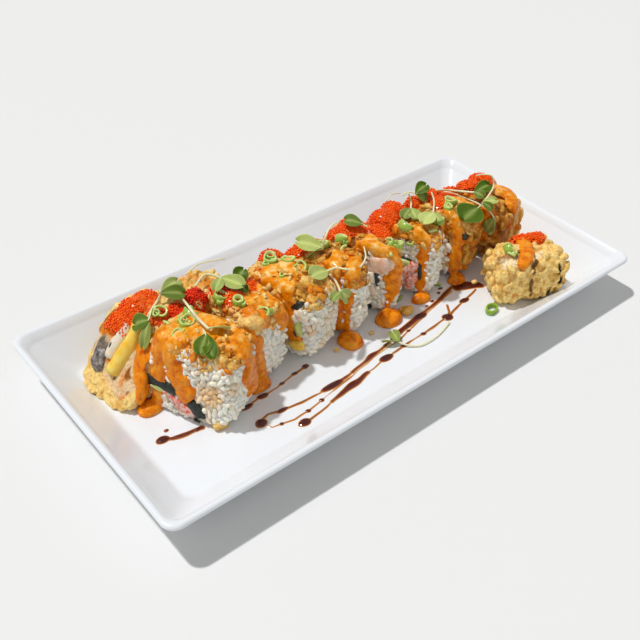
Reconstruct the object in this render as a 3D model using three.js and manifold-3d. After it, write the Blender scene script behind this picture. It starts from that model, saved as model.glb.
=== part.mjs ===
// A platter of sliced sushi roll: nine slices stand in a row on a long white plate and a tenth,
// battered one lies apart. Roe, sauce drips, scallion rings and leafy sprouts top them.
// Units are millimetres. X runs along the plate, -Y is the front, Z is up and the plate's foot
// stands on z = 0, with the origin under the plate's middle.
import * as THREE from 'three';
import { mergeVertices } from 'three/addons/utils/BufferGeometryUtils.js';
import Module from 'manifold-3d';

const wasm = await Module();
wasm.setup();

// Plate
const PLATE_LENGTH = 300;
const PLATE_WIDTH = 142.4;
const PLATE_HEIGHT = 24;
const RIM_CORNER = 6.5;
const WELL_CORNER = 6;
const LIP_ROUND = 1.5;
const WALL_TOP_INSET = 3;
const WELL_INSET = 22;
const WELL_FLOOR = 6;
const WELL_FILLET = 4.5;
const FOOT_INSET = 29;
const FOOT_WIDTH = 6;
const FOOT_DEPTH = 1.6;
const UNDERSIDE_INSET = 24;
const UNDERSIDE_HEIGHT = 2.4;
const CORNER_STEPS = 5;
const LIP_STEPS = 4;
const LIP_FALL = 0.35;
const LIP_NECK = 0.6;
const FOOT_ROUND = 0.6;
// Insets of the rings down the wall into the well
const WALL_STOPS = [10, 16, 18.5, 20, 21, WELL_INSET];

// Clearances between separate pieces
const GAP = 0.3;
const REST_GAP = 0.3;

// Slices: centre, turn of the cut face from -X towards -Y in degrees, slant of the top towards
// that face, thickness, width, height, and how square the cut face is
const slice = (x, y, z, turn, slant, thick, wide, high, square) => (
  { x, y, z, turn, slant, thick, wide, high, square });
const SLICES = {
  slice_01: slice(-107, 28, 25, 14, -0.72, 21, 37, 38, 3.4),
  slice_02: slice(-90, -4, 25.5, 26, -0.14, 25, 45, 40, 4),
  slice_03: slice(-59, 9, 26, 8, 0, 23, 43, 40, 4),
  slice_04: slice(-30, 8, 26.3, 16, 0, 23, 46, 41, 4),
  slice_05: slice(-3, 8, 26, 26, 0, 21, 43, 40, 4),
  slice_06: slice(23, 10, 26, 28, 0, 21, 43, 40, 4),
  slice_07: slice(50, 8, 26, 26, 0, 21, 43, 40, 4),
  slice_08: slice(78, 7, 26, 22, 0, 21, 43, 40, 4),
  slice_09: slice(110, 5, 25.5, 12, 0.12, 28, 43, 39, 3.2),
  slice_10: slice(97, -39, 19.7, 68, 0, 26, 43, 27.5, 4),
};
// A fried chunk behind the third slice, of the same form
const BACK_CHUNK = slice(-70, 29, 27, 20, 0, 24, 28, 40, 3);
const EDGE_SHARPNESS = 7;
const BATTERED = ['slice_01', 'slice_09', 'slice_10'];
const RICE_LUMP = 0.55;
const BATTER_LUMP = 1.2;
const LUMP_WAVELENGTH = 6.5;

// Boundary planes between neighbours that don't simply stand side by side:
// a point on the plane, and the direction of its normal towards the first piece
const EXTRA_SEAMS = [
  { first: 'slice_01', second: 'slice_02', at: [-100, 13.5], towards: 117 },
  { first: 'slice_01', second: 'slice_03', at: [-82.5, 30], towards: 180 },
  { first: 'slice_09', second: 'slice_10', at: [105, -20.2], towards: 90 },
  { first: 'slice_08', second: 'slice_10', at: [84, -18.8], towards: 90 },
];

// Mounds of roe on the tops: x, y, radius, height
const ROE = [
  [-112, 34, 8, 3], [-103, 33, 9, 3.2], [-95, 35, 8, 3], [-96, 22, 7, 2.5],
  [-86, 18, 8, 3], [-77, 20, 7, 3], [-70, 24, 7, 3], [-64, 17, 6, 3], [-63, 8, 7, 3],
  [-50, 12, 7, 3], [-27, 26, 8, 4], [-14, 23, 8, 4], [12, 23, 7, 3.4], [20, 19, 9, 6],
  [31, 8, 9, 3], [41, 17, 10, 4.4], [52, 21, 8, 4], [66, 20, 7, 3.6], [77, 17, 8, 3.6],
  [75, 8, 7, 2.6], [89, 14, 7, 3], [95, 22, 6, 4.4], [104, 14, 8, 3.4], [114, 13, 9, 4],
  [102, -29, 7, 2.6], [109, -32, 8, 3],
];
// Curled flakes of batter that stand up from the fried chunk, in the same way
const FLAKES = [[-78, 37, 6, 3.5], [-62, 31, 6, 5]];

// Sauce over the fronts: where a run starts at the top, where it ends low on the front,
// its radius and its thickness
const DRIPS = [
  { from: [-104.6, 3.3, 44], to: [-108.9, 1.2, 10], radius: 7, thick: 3 },
  { from: [-98.5, -9.3, 44], to: [-101.1, -12.8, 16], radius: 6, thick: 2.8 },
  { from: [-77, -16, 42], to: [-73, -21, 18], radius: 6, thick: 2.4 },
  { from: [-68, -12.5, 42], to: [-63, -13, 8], radius: 7, thick: 2.8 },
  { from: [-39.9, 1, 44], to: [-39, -2.1, 23], radius: 6, thick: 2.6 },
  { from: [-8, -5.6, 44], to: [-8, -5.6, 8], radius: 5, thick: 3 },
  { from: [20.3, -7.3, 44], to: [21.5, -9.5, 8], radius: 6, thick: 3.2 },
  { from: [44.5, -4.7, 44], to: [46.5, -8.7, 8], radius: 5, thick: 2.8 },
  { from: [71.3, -4.3, 44], to: [72.8, -8, 8], radius: 5, thick: 3 },
  { from: [92, -30, 33], to: [86, -42, 32], radius: 5, thick: 1.6 },
];

// Sauce that has run out on the plate: slice, x, y, radius along X, radius along Y, height
const PUDDLES = [
  ['slice_02', -113, 6, 8, 6, 6],
  ['slice_03', -65, -12, 9, 6, 7],
  ['slice_05', -8, -15, 8, 8, 6],
  ['slice_06', 20, -14, 9, 8, 7],
  ['slice_07', 46, -12, 7, 5, 5],
  ['slice_08', 74, -12, 7, 5, 5],
];

// Scallion rings on the tops: slice, x, y
const SCALLIONS = [
  ['slice_02', -98, 2], ['slice_02', -85, 11], ['slice_02', -90, 6], ['slice_01', -95, 20],
  ['slice_03', -68, 12], ['slice_03', -64, 3], ['slice_03', -58, -8], ['slice_04', -32, 21],
  ['slice_04', -26, 14], ['slice_04', -24, 6], ['slice_05', -2, 16], ['slice_06', 9, 15],
  ['slice_06', 26, -2], ['slice_06', 29, -6], ['slice_07', 43, 3], ['slice_07', 62, -4],
  ['slice_08', 79, 5], ['slice_10', 87, -34],
];
const SCALLION_RADIUS = 3.4;
const SCALLION_HEIGHT = 3.4;
const SCALLION_SIDES = 7;
const SCALLION_TAPER = 0.94;
const SCALLION_TILT = 0.3;
const LOOSE_SCALLION = { x: 69, y: -42.5, radius: 4.2, height: 3 };

// Sprouts: the points of the stem from where the leaves spring, its radius, and the leaves,
// each with its tip, its width and its roll about its own length in degrees
const SPROUTS = [
  {
    radius: 0.9,
    stem: [[-89.5, 28, 49.5], [-92, 28.5, 45.5], [-98, 23.5, 46.5], [-101.5, 22, 44.5]],
    leaves: [
      { tip: [-76.5, 33.5, 48.5], wide: 7, roll: 20 },
      { tip: [-79, 23.5, 47.5], wide: 8, roll: 30 },
    ],
  },
  {
    radius: 0.7,
    stem: [[-102.5, 18.5, 46], [-98.5, 22, 48.5]],
    leaves: [
      { tip: [-107.5, 25, 41.5], wide: 9, roll: -30 },
      { tip: [-109.5, 14, 35], wide: 5, roll: -15 },
    ],
  },
  {
    radius: 0.7,
    stem: [[-88.5, -7, 47.5], [-86.5, 1, 47], [-87.5, 4.5, 51.5], [-83.5, 15.5, 47]],
    leaves: [
      { tip: [-98, -15.5, 46], wide: 8, roll: -10 },
      { tip: [-94, -20.5, 45], wide: 7, roll: 5 },
    ],
  },
  {
    radius: 0.9,
    stem: [[-86.5, -6, 49.5], [-87.5, 0, 51.5], [-88, 5.5, 54], [-83.5, 19, 48.5]],
    leaves: [
      { tip: [-77.5, -11, 48], wide: 7, roll: -40 },
    ],
  },
  {
    radius: 0.7,
    stem: [[-56, 16, 48.5], [-57.5, 12.5, 47]],
    leaves: [
      { tip: [-50, 17, 53], wide: 8, roll: 25 },
      { tip: [-57, 5, 49], wide: 5, roll: 15 },
    ],
  },
  {
    radius: 0.8,
    stem: [[-61, 21, 49.5], [-64.5, 24.5, 51], [-68, 25.5, 51.5], [-76, 20.5, 52]],
    leaves: [
      { tip: [-57.5, 6, 52], wide: 8, roll: 25 },
      { tip: [-71, 12.5, 51], wide: 6, roll: -10 },
    ],
  },
  {
    radius: 0.7,
    stem: [[-6.5, 11.5, 49], [-6, 10.5, 55.5], [0.5, 13.5, 58.5], [7, 14.5, 58.5]],
    leaves: [
      { tip: [-17.5, 20.5, 53.5], wide: 9, roll: -30 },
      { tip: [-17, 11, 47.5], wide: 4, roll: 50 },
    ],
  },
  {
    radius: 0.7,
    stem: [[-14, -1.5, 46], [-9.5, -2.5, 46.5], [-6, -7.5, 47], [0.5, -8.5, 45.5], [8, -5, 46.5], [15, 4, 45.5]],
    leaves: [
      { tip: [-27.5, -3.5, 50], wide: 9, roll: -25 },
    ],
  },
  {
    radius: 0.9,
    stem: [[-14, -12, 39.5], [-11, -5, 40], [-12, -1, 43]],
    leaves: [
      { tip: [-9.5, -13, 33.5], wide: 8, roll: 55 },
      { tip: [-25.5, -17.5, 42.5], wide: 5, roll: -15 },
    ],
  },
  {
    radius: 0.6,
    stem: [[21.5, 13.5, 51.5], [23, 10.5, 50.5]],
    leaves: [
      { tip: [14.5, 20.5, 53.5], wide: 7, roll: -30 },
    ],
  },
  {
    radius: 0.6,
    stem: [[65.5, 18, 51.5], [63, 21.5, 51.5], [58.5, 22, 50.5]],
    leaves: [
      { tip: [73.5, 18, 54.5], wide: 8, roll: 20 },
      { tip: [70.5, 14, 48], wide: 6, roll: 40 },
    ],
  },
  {
    radius: 0.7,
    stem: [[58, 14, 46.5], [63, 19, 47], [61, 20, 52.5]],
    leaves: [
      { tip: [44, 6.5, 49], wide: 7, roll: -10 },
      { tip: [50.5, 2, 48.5], wide: 7, roll: 10 },
    ],
  },
  {
    radius: 0.7,
    stem: [[61.5, 1, 49], [71, 9.5, 48.5], [73, 14, 51.5]],
    leaves: [
      { tip: [46, -5.5, 51.5], wide: 9, roll: -10 },
      { tip: [59, -7, 48.5], wide: 5, roll: 15 },
    ],
  },
  {
    radius: 0.8,
    stem: [[98, 4, 47], [94, 10.5, 46], [91, 17.5, 44.5], [77, 14.5, 51]],
    leaves: [
      { tip: [112, 4.5, 47.5], wide: 8, roll: 20 },
      { tip: [99.5, -2.5, 46.5], wide: 6, roll: 30 },
    ],
  },
  {
    radius: 0.6,
    stem: [[96.5, -13.5, 39.5], [96, -8.5, 43], [94, -1.5, 44.5], [93, 7, 44], [85, 10.5, 48.5], [82.5, 13.5, 48.5]],
    leaves: [
      { tip: [97, -9.5, 27.5], wide: 8, roll: -100 },
    ],
  },
  {
    radius: 0.7,
    stem: [[89.5, -6.5, 45.5], [93, -5.5, 45.5]],
    leaves: [
      { tip: [70.5, -11.5, 47], wide: 16, roll: -15 },
    ],
  },
  {
    radius: 0.7,
    stem: [[92, -7, 48], [101.5, -3.5, 48.5], [110.5, 1.5, 48], [110, 3.5, 53.5], [108, 7.5, 53.5], [109, 13.5, 49.5]],
    leaves: [
      { tip: [104, -8, 46], wide: 5, roll: 25 },
      { tip: [96, -12, 44.5], wide: 5, roll: 35 },
    ],
  },
  {
    radius: 0.6,
    stem: [[9.5, -32, 8.5], [14, -37, 7], [20, -40, 7], [31, -39.5, 7], [43.5, -36, 7]],
    leaves: [
      { tip: [14, -22.5, 7.5], wide: 6, roll: -10 },
      { tip: [2, -27, 9], wide: 5, roll: 40 },
    ],
  },
];
const STEM_SIDES = 4;
const STEM_OVERLAP = 0.9;
// Half a leaf's outline: share of the length, share of the width
const LEAF_OUTLINE = [[0, 0], [0.3, 0.36], [0.62, 0.5], [0.93, 0.3], [0.86, 0]];
const LEAF_MIDDLE = 0.55;
const LEAF_CUP = 0.7;
const LEAF_WAVE = 0.25;
const LEAF_TUCK = 0.8;
const LEAF_HALF_THICKNESS = 0.45;
const LEAF_HALF_RIM = 0.35;

const COLOURS = {
  porcelain: { color: 0xf4f4f2, roughness: 0.12, metalness: 0 },
  rice: { color: 0xe9a55c, roughness: 0.5, metalness: 0 },
  batter: { color: 0xd9b26a, roughness: 0.7, metalness: 0 },
  leaf: { color: 0x5d8a2c, roughness: 0.45, metalness: 0 },
};
const material = (name) => new THREE.MeshStandardMaterial(COLOURS[name]);

// Closed solids from rings of equal point counts, capped by one point at each end
function ringSolid(rings, start, end) {
  const count = rings[0].length;
  const points = [start, ...rings.flat(), end];
  const faces = [];
  const at = (ring, i) => 1 + ring * count + (i % count);
  for (let i = 0; i < count; i += 1) {
    faces.push(0, at(0, i + 1), at(0, i));
    faces.push(points.length - 1, at(rings.length - 1, i), at(rings.length - 1, i + 1));
  }
  for (let r = 0; r + 1 < rings.length; r += 1) {
    for (let i = 0; i < count; i += 1) {
      faces.push(at(r, i), at(r, i + 1), at(r + 1, i + 1));
      faces.push(at(r, i), at(r + 1, i + 1), at(r + 1, i));
    }
  }
  const geometry = new THREE.BufferGeometry();
  const flat = points.flatMap((p) => [p.x, p.y, p.z]);
  geometry.setAttribute('position', new THREE.Float32BufferAttribute(flat, 3));
  geometry.setIndex(faces);
  return geometry;
}

function toSolid(geometry) {
  const plain = geometry.clone();
  plain.deleteAttribute('normal');
  plain.deleteAttribute('uv');
  const merged = mergeVertices(plain, 1e-4);
  return new wasm.Manifold(new wasm.Mesh({
    numProp: 3,
    vertProperties: new Float32Array(merged.attributes.position.array),
    triVerts: new Uint32Array(merged.index.array),
  }));
}

function toGeometry(solid) {
  const mesh = solid.getMesh();
  const geometry = new THREE.BufferGeometry();
  geometry.setAttribute('position', new THREE.BufferAttribute(mesh.vertProperties, 3));
  geometry.setIndex(new THREE.BufferAttribute(mesh.triVerts, 1));
  return geometry;
}

// Plate: rounded rectangles stacked along a profile of inset and height
const wellShare = (inset) => Math.min(inset / WELL_INSET, 1);

function plateRing(inset, z) {
  const radius = RIM_CORNER + (WELL_CORNER - RIM_CORNER) * wellShare(inset);
  const cx = PLATE_LENGTH / 2 - inset - radius;
  const cy = PLATE_WIDTH / 2 - inset - radius;
  const ring = [];
  [[1, 1], [-1, 1], [-1, -1], [1, -1]].forEach(([sx, sy], corner) => {
    for (let i = 0; i <= CORNER_STEPS; i += 1) {
      const angle = (corner + i / CORNER_STEPS) * Math.PI / 2;
      ring.push(new THREE.Vector3(sx * cx + radius * Math.cos(angle),
        sy * cy + radius * Math.sin(angle), z));
    }
  });
  return ring;
}

// Height of the plate's upper surface at an inset from the rim's outer edge
const WALL_SLOPE = (PLATE_HEIGHT - WELL_FLOOR) / (WELL_INSET - WALL_TOP_INSET);

function wellHeight(inset) {
  const straight = WELL_FLOOR + (WELL_INSET - inset) * WALL_SLOPE;
  const rounded = Math.hypot(straight - WELL_FLOOR, WELL_FILLET * 0.5) - WELL_FILLET * 0.5;
  const wall = straight > WELL_FLOOR ? WELL_FLOOR + rounded : WELL_FLOOR;
  return Math.min(wall, PLATE_HEIGHT);
}

function insetAt(x, y) {
  const radius = WELL_CORNER;
  const dx = Math.abs(x) - (PLATE_LENGTH / 2 - WELL_INSET - radius);
  const dy = Math.abs(y) - (PLATE_WIDTH / 2 - WELL_INSET - radius);
  const outside = Math.hypot(Math.max(dx, 0), Math.max(dy, 0));
  const distance = outside + Math.min(Math.max(dx, dy), 0) - radius;
  return WELL_INSET - distance;
}

const plateTop = (x, y) => wellHeight(insetAt(x, y));

function plateGeometry() {
  const rings = [];
  const inner = FOOT_INSET + FOOT_WIDTH;
  rings.push(plateRing(inner + FOOT_DEPTH, FOOT_DEPTH));
  rings.push(plateRing(inner - FOOT_ROUND, 0));
  rings.push(plateRing(FOOT_INSET + 2 * FOOT_ROUND, 0));
  rings.push(plateRing(FOOT_INSET, FOOT_ROUND));
  rings.push(plateRing(UNDERSIDE_INSET, UNDERSIDE_HEIGHT));
  const lipLow = PLATE_HEIGHT - 2 * LIP_ROUND;
  rings.push(plateRing(LIP_ROUND + LIP_NECK, lipLow - LIP_NECK));
  for (let i = 0; i <= LIP_STEPS; i += 1) {
    const angle = -Math.PI / 2 + (i / LIP_STEPS) * Math.PI;
    rings.push(plateRing(LIP_ROUND * (1 - Math.cos(angle)),
      PLATE_HEIGHT - LIP_ROUND + LIP_ROUND * Math.sin(angle)));
  }
  rings.push(plateRing(WALL_TOP_INSET, PLATE_HEIGHT - LIP_FALL));
  WALL_STOPS.forEach((inset) => rings.push(plateRing(inset, wellHeight(inset))));
  return ringSolid(rings, new THREE.Vector3(0, 0, FOOT_DEPTH),
    new THREE.Vector3(0, 0, WELL_FLOOR));
}

// Axes of a slice: along its thickness, out of the shown cut face, and across it
function sliceAxes(spec) {
  const turn = THREE.MathUtils.degToRad(spec.turn);
  return {
    along: new THREE.Vector3(-Math.cos(turn), -Math.sin(turn), 0),
    across: new THREE.Vector3(Math.sin(turn), -Math.cos(turn), 0),
  };
}

const centreOf = (spec) => new THREE.Vector3(spec.x, spec.y, spec.z);

// The plain form: a short rounded bar, as a distance from its centre along a direction
function barReach(spec, direction) {
  const { along, across } = sliceAxes(spec);
  const rise = direction.z;
  const a = direction.dot(along) - spec.slant * rise;
  const b = direction.dot(across);
  const face = ((Math.abs(b) * 2 / spec.wide) ** spec.square
    + (Math.abs(rise) * 2 / spec.high) ** spec.square) ** (1 / spec.square);
  const end = Math.abs(a) * 2 / spec.thick;
  return 1 / (face ** EDGE_SHARPNESS + end ** EDGE_SHARPNESS) ** (1 / EDGE_SHARPNESS);
}

// A gently uneven surface, the same at every point of space
function lump(p, wavelength) {
  const k = 2 * Math.PI / wavelength;
  return Math.sin(k * p.x + 1.7 * Math.sin(0.31 * k * p.y + 0.4))
    * Math.sin(k * 0.91 * p.y + 1.3 * Math.sin(0.37 * k * p.z + 1.1))
    + 0.6 * Math.sin(k * 1.13 * p.z + 1.9 * Math.sin(0.29 * k * p.x + 2.3));
}

const mound = (distance, radius, height) => (
  distance < radius ? height * (1 - (distance / radius) ** 2) ** 1.5 : 0);

function segmentDistance(p, from, to) {
  const start = new THREE.Vector3(...from);
  const line = new THREE.Line3(start, new THREE.Vector3(...to));
  return line.closestPointToPoint(p, true, new THREE.Vector3()).distanceTo(p);
}

function toppingHeight(p, spec) {
  const low = spec.z + 0.22 * spec.high;
  const roe = p.z < low ? 0 : Math.max(...[...ROE, ...FLAKES].map(([x, y, radius, height]) => (
    mound(Math.hypot(p.x - x, p.y - y), radius, height))));
  const sauce = Math.max(...DRIPS.map(({ from, to, radius, thick }) => (
    mound(segmentDistance(p, from, to), radius, thick))));
  return Math.max(roe, sauce);
}

// Planes that keep neighbours apart, each for one slice, with its normal pointing out
function seamPlanes(name) {
  const planes = [];
  const order = Object.keys(SLICES);
  const add = (point, normal) => planes.push({ point, normal });
  const place = order.indexOf(name);
  const row = order.length - 1;
  const inRow = (index) => index > 0 && index < row;
  [-1, 1].filter((step) => inRow(place) && inRow(place + step)).forEach((step) => {
    const [left, right] = step < 0 ? [place - 1, place] : [place, place + 1];
    const a = SLICES[order[left]];
    const b = SLICES[order[right]];
    const axisA = sliceAxes(a).along;
    const axisB = sliceAxes(b).along;
    const middle = centreOf(a).addScaledVector(axisA, -a.thick / 2)
      .add(centreOf(b).addScaledVector(axisB, b.thick / 2)).multiplyScalar(0.5);
    add(middle, axisA.clone().add(axisB).normalize().multiplyScalar(-step));
  });
  EXTRA_SEAMS.filter((seam) => seam.first === name || seam.second === name).forEach((seam) => {
    const angle = THREE.MathUtils.degToRad(seam.towards);
    const sign = seam.first === name ? -1 : 1;
    add(new THREE.Vector3(seam.at[0], seam.at[1], 0),
      new THREE.Vector3(Math.cos(angle), Math.sin(angle), 0).multiplyScalar(sign));
  });
  return planes;
}

// How far a ray may run before it meets a seam plane or the plate
function roomAlong(centre, direction, planes) {
  let room = Infinity;
  planes.forEach(({ point, normal }) => {
    const facing = normal.dot(direction);
    const offset = normal.dot(point.clone().sub(centre)) - GAP / 2;
    if (facing > 1e-6) room = Math.min(room, offset / facing);
  });
  const above = (distance) => {
    const p = centre.clone().addScaledVector(direction, distance);
    return p.z - plateTop(p.x, p.y) - REST_GAP;
  };
  let high = Math.min(room, 90);
  if (above(high) > 0) return high;
  let low = 0;
  for (let i = 0; i < 24; i += 1) {
    const middle = (low + high) / 2;
    if (above(middle) > 0) low = middle;
    else high = middle;
  }
  return low;
}

// A solid seen whole from its centre: the points of a gridded box, each moved along its ray
function starSolid(spec, reach, cell) {
  const size = [spec.thick, spec.wide, spec.high];
  const box = new THREE.BoxGeometry(...size, ...size.map((side) => Math.round(side / cell)));
  box.deleteAttribute('normal');
  box.deleteAttribute('uv');
  const solid = mergeVertices(box, 1e-3);
  const { along, across } = sliceAxes(spec);
  const points = solid.attributes.position;
  for (let i = 0; i < points.count; i += 1) {
    const direction = along.clone().multiplyScalar(points.getX(i) + spec.slant * points.getZ(i))
      .addScaledVector(across, points.getY(i));
    direction.z = points.getZ(i);
    direction.normalize();
    const p = centreOf(spec).addScaledVector(direction, reach(direction));
    points.setXYZ(i, p.x, p.y, p.z);
  }
  return toSolid(solid);
}

// How far the food reaches from its centre, with its toppings, roughness and neighbours
function foodReach(spec, planes, roughness) {
  const centre = centreOf(spec);
  return (direction) => {
    const plain = barReach(spec, direction);
    const p = centre.clone().addScaledVector(direction, plain);
    const raised = plain + toppingHeight(p, spec) + roughness * lump(p, LUMP_WAVELENGTH);
    return Math.min(raised, roomAlong(centre, direction, planes));
  };
}

const CELL = 4.8;

function foodSolid(spec, planes, roughness, grown = 0) {
  const reach = foodReach(spec, planes, roughness);
  return starSolid(spec, (direction) => reach(direction) + grown, CELL);
}

const lumpiness = (name) => (BATTERED.includes(name) ? BATTER_LUMP : RICE_LUMP);

function sliceBody(name, grown = 0) {
  return foodSolid(SLICES[name], seamPlanes(name), lumpiness(name), grown);
}

// A sauce puddle: a low dome on the plate, joined to its own slice and clear of the others
const PUDDLE_SIDES = 10;
const PUDDLE_LEVELS = [[0.94, 0], [1, 0.06], [0.93, 0.5], [0.6, 0.86]];
const PUDDLE_CLEARANCE = 0.5;

function puddleSolid([owner, x, y, rx, ry, high]) {
  const foot = WELL_FLOOR + REST_GAP;
  const rings = PUDDLE_LEVELS.map(([share, rise]) => (
    Array.from({ length: PUDDLE_SIDES }, (_, i) => {
      const angle = i * 2 * Math.PI / PUDDLE_SIDES;
      const reach = share * (1 + 0.1 * Math.sin(3 * angle + x));
      return new THREE.Vector3(x + rx * reach * Math.cos(angle),
        y + ry * reach * Math.sin(angle), foot + high * rise);
    })));
  const dome = toSolid(ringSolid(rings, new THREE.Vector3(x, y, foot),
    new THREE.Vector3(x, y, foot + high)));
  return Object.keys(SLICES).filter((name) => name !== owner).reduce((solid, name) => (
    solid.subtract(sliceBody(name, PUDDLE_CLEARANCE))), dome);
}

function scallionSolid(x, y, z, radius, height, tilt) {
  const ring = new THREE.CylinderGeometry(radius, radius * SCALLION_TAPER, height,
    SCALLION_SIDES);
  ring.rotateX(Math.PI / 2);
  ring.rotateY(tilt);
  ring.translate(x, y, z);
  return toSolid(ring);
}

// A bent stem: rings across the line through its points, started a little before the first
function stemSolid(points, radius) {
  const line = points.map((p) => new THREE.Vector3(...p));
  line[0].addScaledVector(line[0].clone().sub(line[1]).normalize(), STEM_OVERLAP);
  let side = new THREE.Vector3(0, 0, 1);
  const rings = line.map((p, i) => {
    const before = line[Math.max(i - 1, 0)];
    const after = line[Math.min(i + 1, line.length - 1)];
    const direction = after.clone().sub(before).normalize();
    side = side.clone().addScaledVector(direction, -side.dot(direction)).normalize();
    const other = new THREE.Vector3().crossVectors(direction, side);
    return Array.from({ length: STEM_SIDES }, (_, k) => {
      const angle = k * 2 * Math.PI / STEM_SIDES;
      return p.clone().addScaledVector(side, radius * Math.cos(angle))
        .addScaledVector(other, radius * Math.sin(angle));
    });
  });
  return toSolid(ringSolid(rings, line[0], line[line.length - 1]));
}

// A leaf: two like faces, gently cupped and wavy, with a thin rim between them
function leafSolid(base, { tip, wide, roll }) {
  const start = new THREE.Vector3(...base);
  const axis = new THREE.Vector3(...tip).sub(start);
  const long = axis.length() + LEAF_TUCK;
  axis.normalize();
  start.addScaledVector(axis, -LEAF_TUCK);
  const up = new THREE.Vector3(0, 0, 1).addScaledVector(axis, -axis.z).normalize();
  const normal = up.applyAxisAngle(axis, THREE.MathUtils.degToRad(roll));
  const side = new THREE.Vector3().crossVectors(normal, axis);
  const half = LEAF_OUTLINE.slice(1, -1);
  const outline = [...LEAF_OUTLINE, ...half.reverse().map(([u, v]) => [u, -v])];
  const place = (u, v, rise) => start.clone().addScaledVector(axis, u * long)
    .addScaledVector(side, v * wide).addScaledVector(normal, rise);
  const ring = (share, thickness) => outline.map(([u, v], i) => (
    place(LEAF_MIDDLE + (u - LEAF_MIDDLE) * share, v * share,
      LEAF_CUP * share * share + LEAF_WAVE * share * Math.sin(2.3 * i + roll) + thickness)));
  const rings = [ring(0.5, LEAF_HALF_THICKNESS), ring(1, LEAF_HALF_RIM),
    ring(1, -LEAF_HALF_RIM), ring(0.5, -LEAF_HALF_THICKNESS)];
  return toSolid(ringSolid(rings, place(LEAF_MIDDLE, 0, LEAF_HALF_THICKNESS),
    place(LEAF_MIDDLE, 0, -LEAF_HALF_THICKNESS)));
}

function sproutMesh({ stem, radius, leaves }, index) {
  const solid = leaves.reduce((joined, leaf) => joined.add(leafSolid(stem[0], leaf)),
    stemSolid(stem, radius));
  const mesh = new THREE.Mesh(toGeometry(solid), material('leaf'));
  mesh.name = `sprout_${String(index + 1).padStart(2, '0')}`;
  return mesh;
}

// Highest point of a solid over a place on the plate
function topOf(geometry, x, y) {
  const mesh = new THREE.Mesh(geometry, new THREE.MeshBasicMaterial({ side: THREE.DoubleSide }));
  const ray = new THREE.Raycaster(new THREE.Vector3(x, y, 100), new THREE.Vector3(0, 0, -1));
  const hits = ray.intersectObject(mesh);
  return hits.length ? hits[0].point.z : WELL_FLOOR;
}

function sliceMesh(name) {
  let solid = sliceBody(name);
  if (name === 'slice_03') {
    solid = solid.add(foodSolid(BACK_CHUNK, seamPlanes(name), BATTER_LUMP));
  }
  PUDDLES.filter(([owner]) => owner === name).forEach((puddle) => {
    solid = solid.add(puddleSolid(puddle));
  });
  const bare = toGeometry(solid);
  SCALLIONS.filter(([owner]) => owner === name).forEach(([, x, y]) => {
    const top = topOf(bare, x, y);
    const tilt = SCALLION_TILT * Math.sin(x);
    solid = solid.add(scallionSolid(x, y, top, SCALLION_RADIUS, SCALLION_HEIGHT, tilt));
  });
  const kind = BATTERED.includes(name) ? 'batter' : 'rice';
  const mesh = new THREE.Mesh(toGeometry(solid), material(kind));
  mesh.name = name;
  return mesh;
}

const platter = new THREE.Group();
const plate = new THREE.Mesh(plateGeometry(), material('porcelain'));
plate.name = 'plate';
platter.add(plate);
Object.keys(SLICES).forEach((name) => platter.add(sliceMesh(name)));

const loose = new THREE.Mesh(toGeometry(scallionSolid(LOOSE_SCALLION.x, LOOSE_SCALLION.y,
  WELL_FLOOR + REST_GAP + LOOSE_SCALLION.height / 2, LOOSE_SCALLION.radius,
  LOOSE_SCALLION.height, 0)), material('leaf'));
loose.name = 'scallion_loose';
platter.add(loose);
SPROUTS.forEach((sprout, index) => platter.add(sproutMesh(sprout, index)));

export default platter;
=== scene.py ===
"""The looks of a platter of sliced sushi roll: rice, seaweed, fillings, fried batter, sauce,
roe, scallion rings, sprouts and syrup strokes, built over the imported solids.

Sizes are in millimetres, in the frame of the solids, and turn to metres where a mesh is made.
X runs along the plate, -Y is the front and Z is up."""

import math
from collections import namedtuple

import bpy
import numpy as np
from mathutils import Matrix, Vector


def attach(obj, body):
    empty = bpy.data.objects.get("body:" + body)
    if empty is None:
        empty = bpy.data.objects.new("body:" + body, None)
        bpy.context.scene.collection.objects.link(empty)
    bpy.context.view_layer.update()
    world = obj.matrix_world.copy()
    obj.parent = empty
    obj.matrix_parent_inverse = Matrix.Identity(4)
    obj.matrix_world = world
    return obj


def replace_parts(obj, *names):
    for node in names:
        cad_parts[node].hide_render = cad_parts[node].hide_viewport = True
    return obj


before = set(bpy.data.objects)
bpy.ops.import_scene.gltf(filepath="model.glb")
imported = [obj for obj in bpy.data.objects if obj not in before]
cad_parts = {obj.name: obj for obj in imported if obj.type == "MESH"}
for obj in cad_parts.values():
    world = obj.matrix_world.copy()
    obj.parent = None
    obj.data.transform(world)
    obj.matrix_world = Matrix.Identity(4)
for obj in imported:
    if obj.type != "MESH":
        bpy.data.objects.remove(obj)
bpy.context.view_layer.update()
MM = 0.001
rng = np.random.default_rng(11)

# Camera: set first, from the photograph's viewpoint

CAMERA_PLACE = (-241.71, -257.87, 299.72)
CAMERA_AZIMUTH = -41.19
CAMERA_ELEVATION = 39.74
CAMERA_ROLL = 2.46
CAMERA_LENS = 48.97
CAMERA_SENSOR = 36


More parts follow.
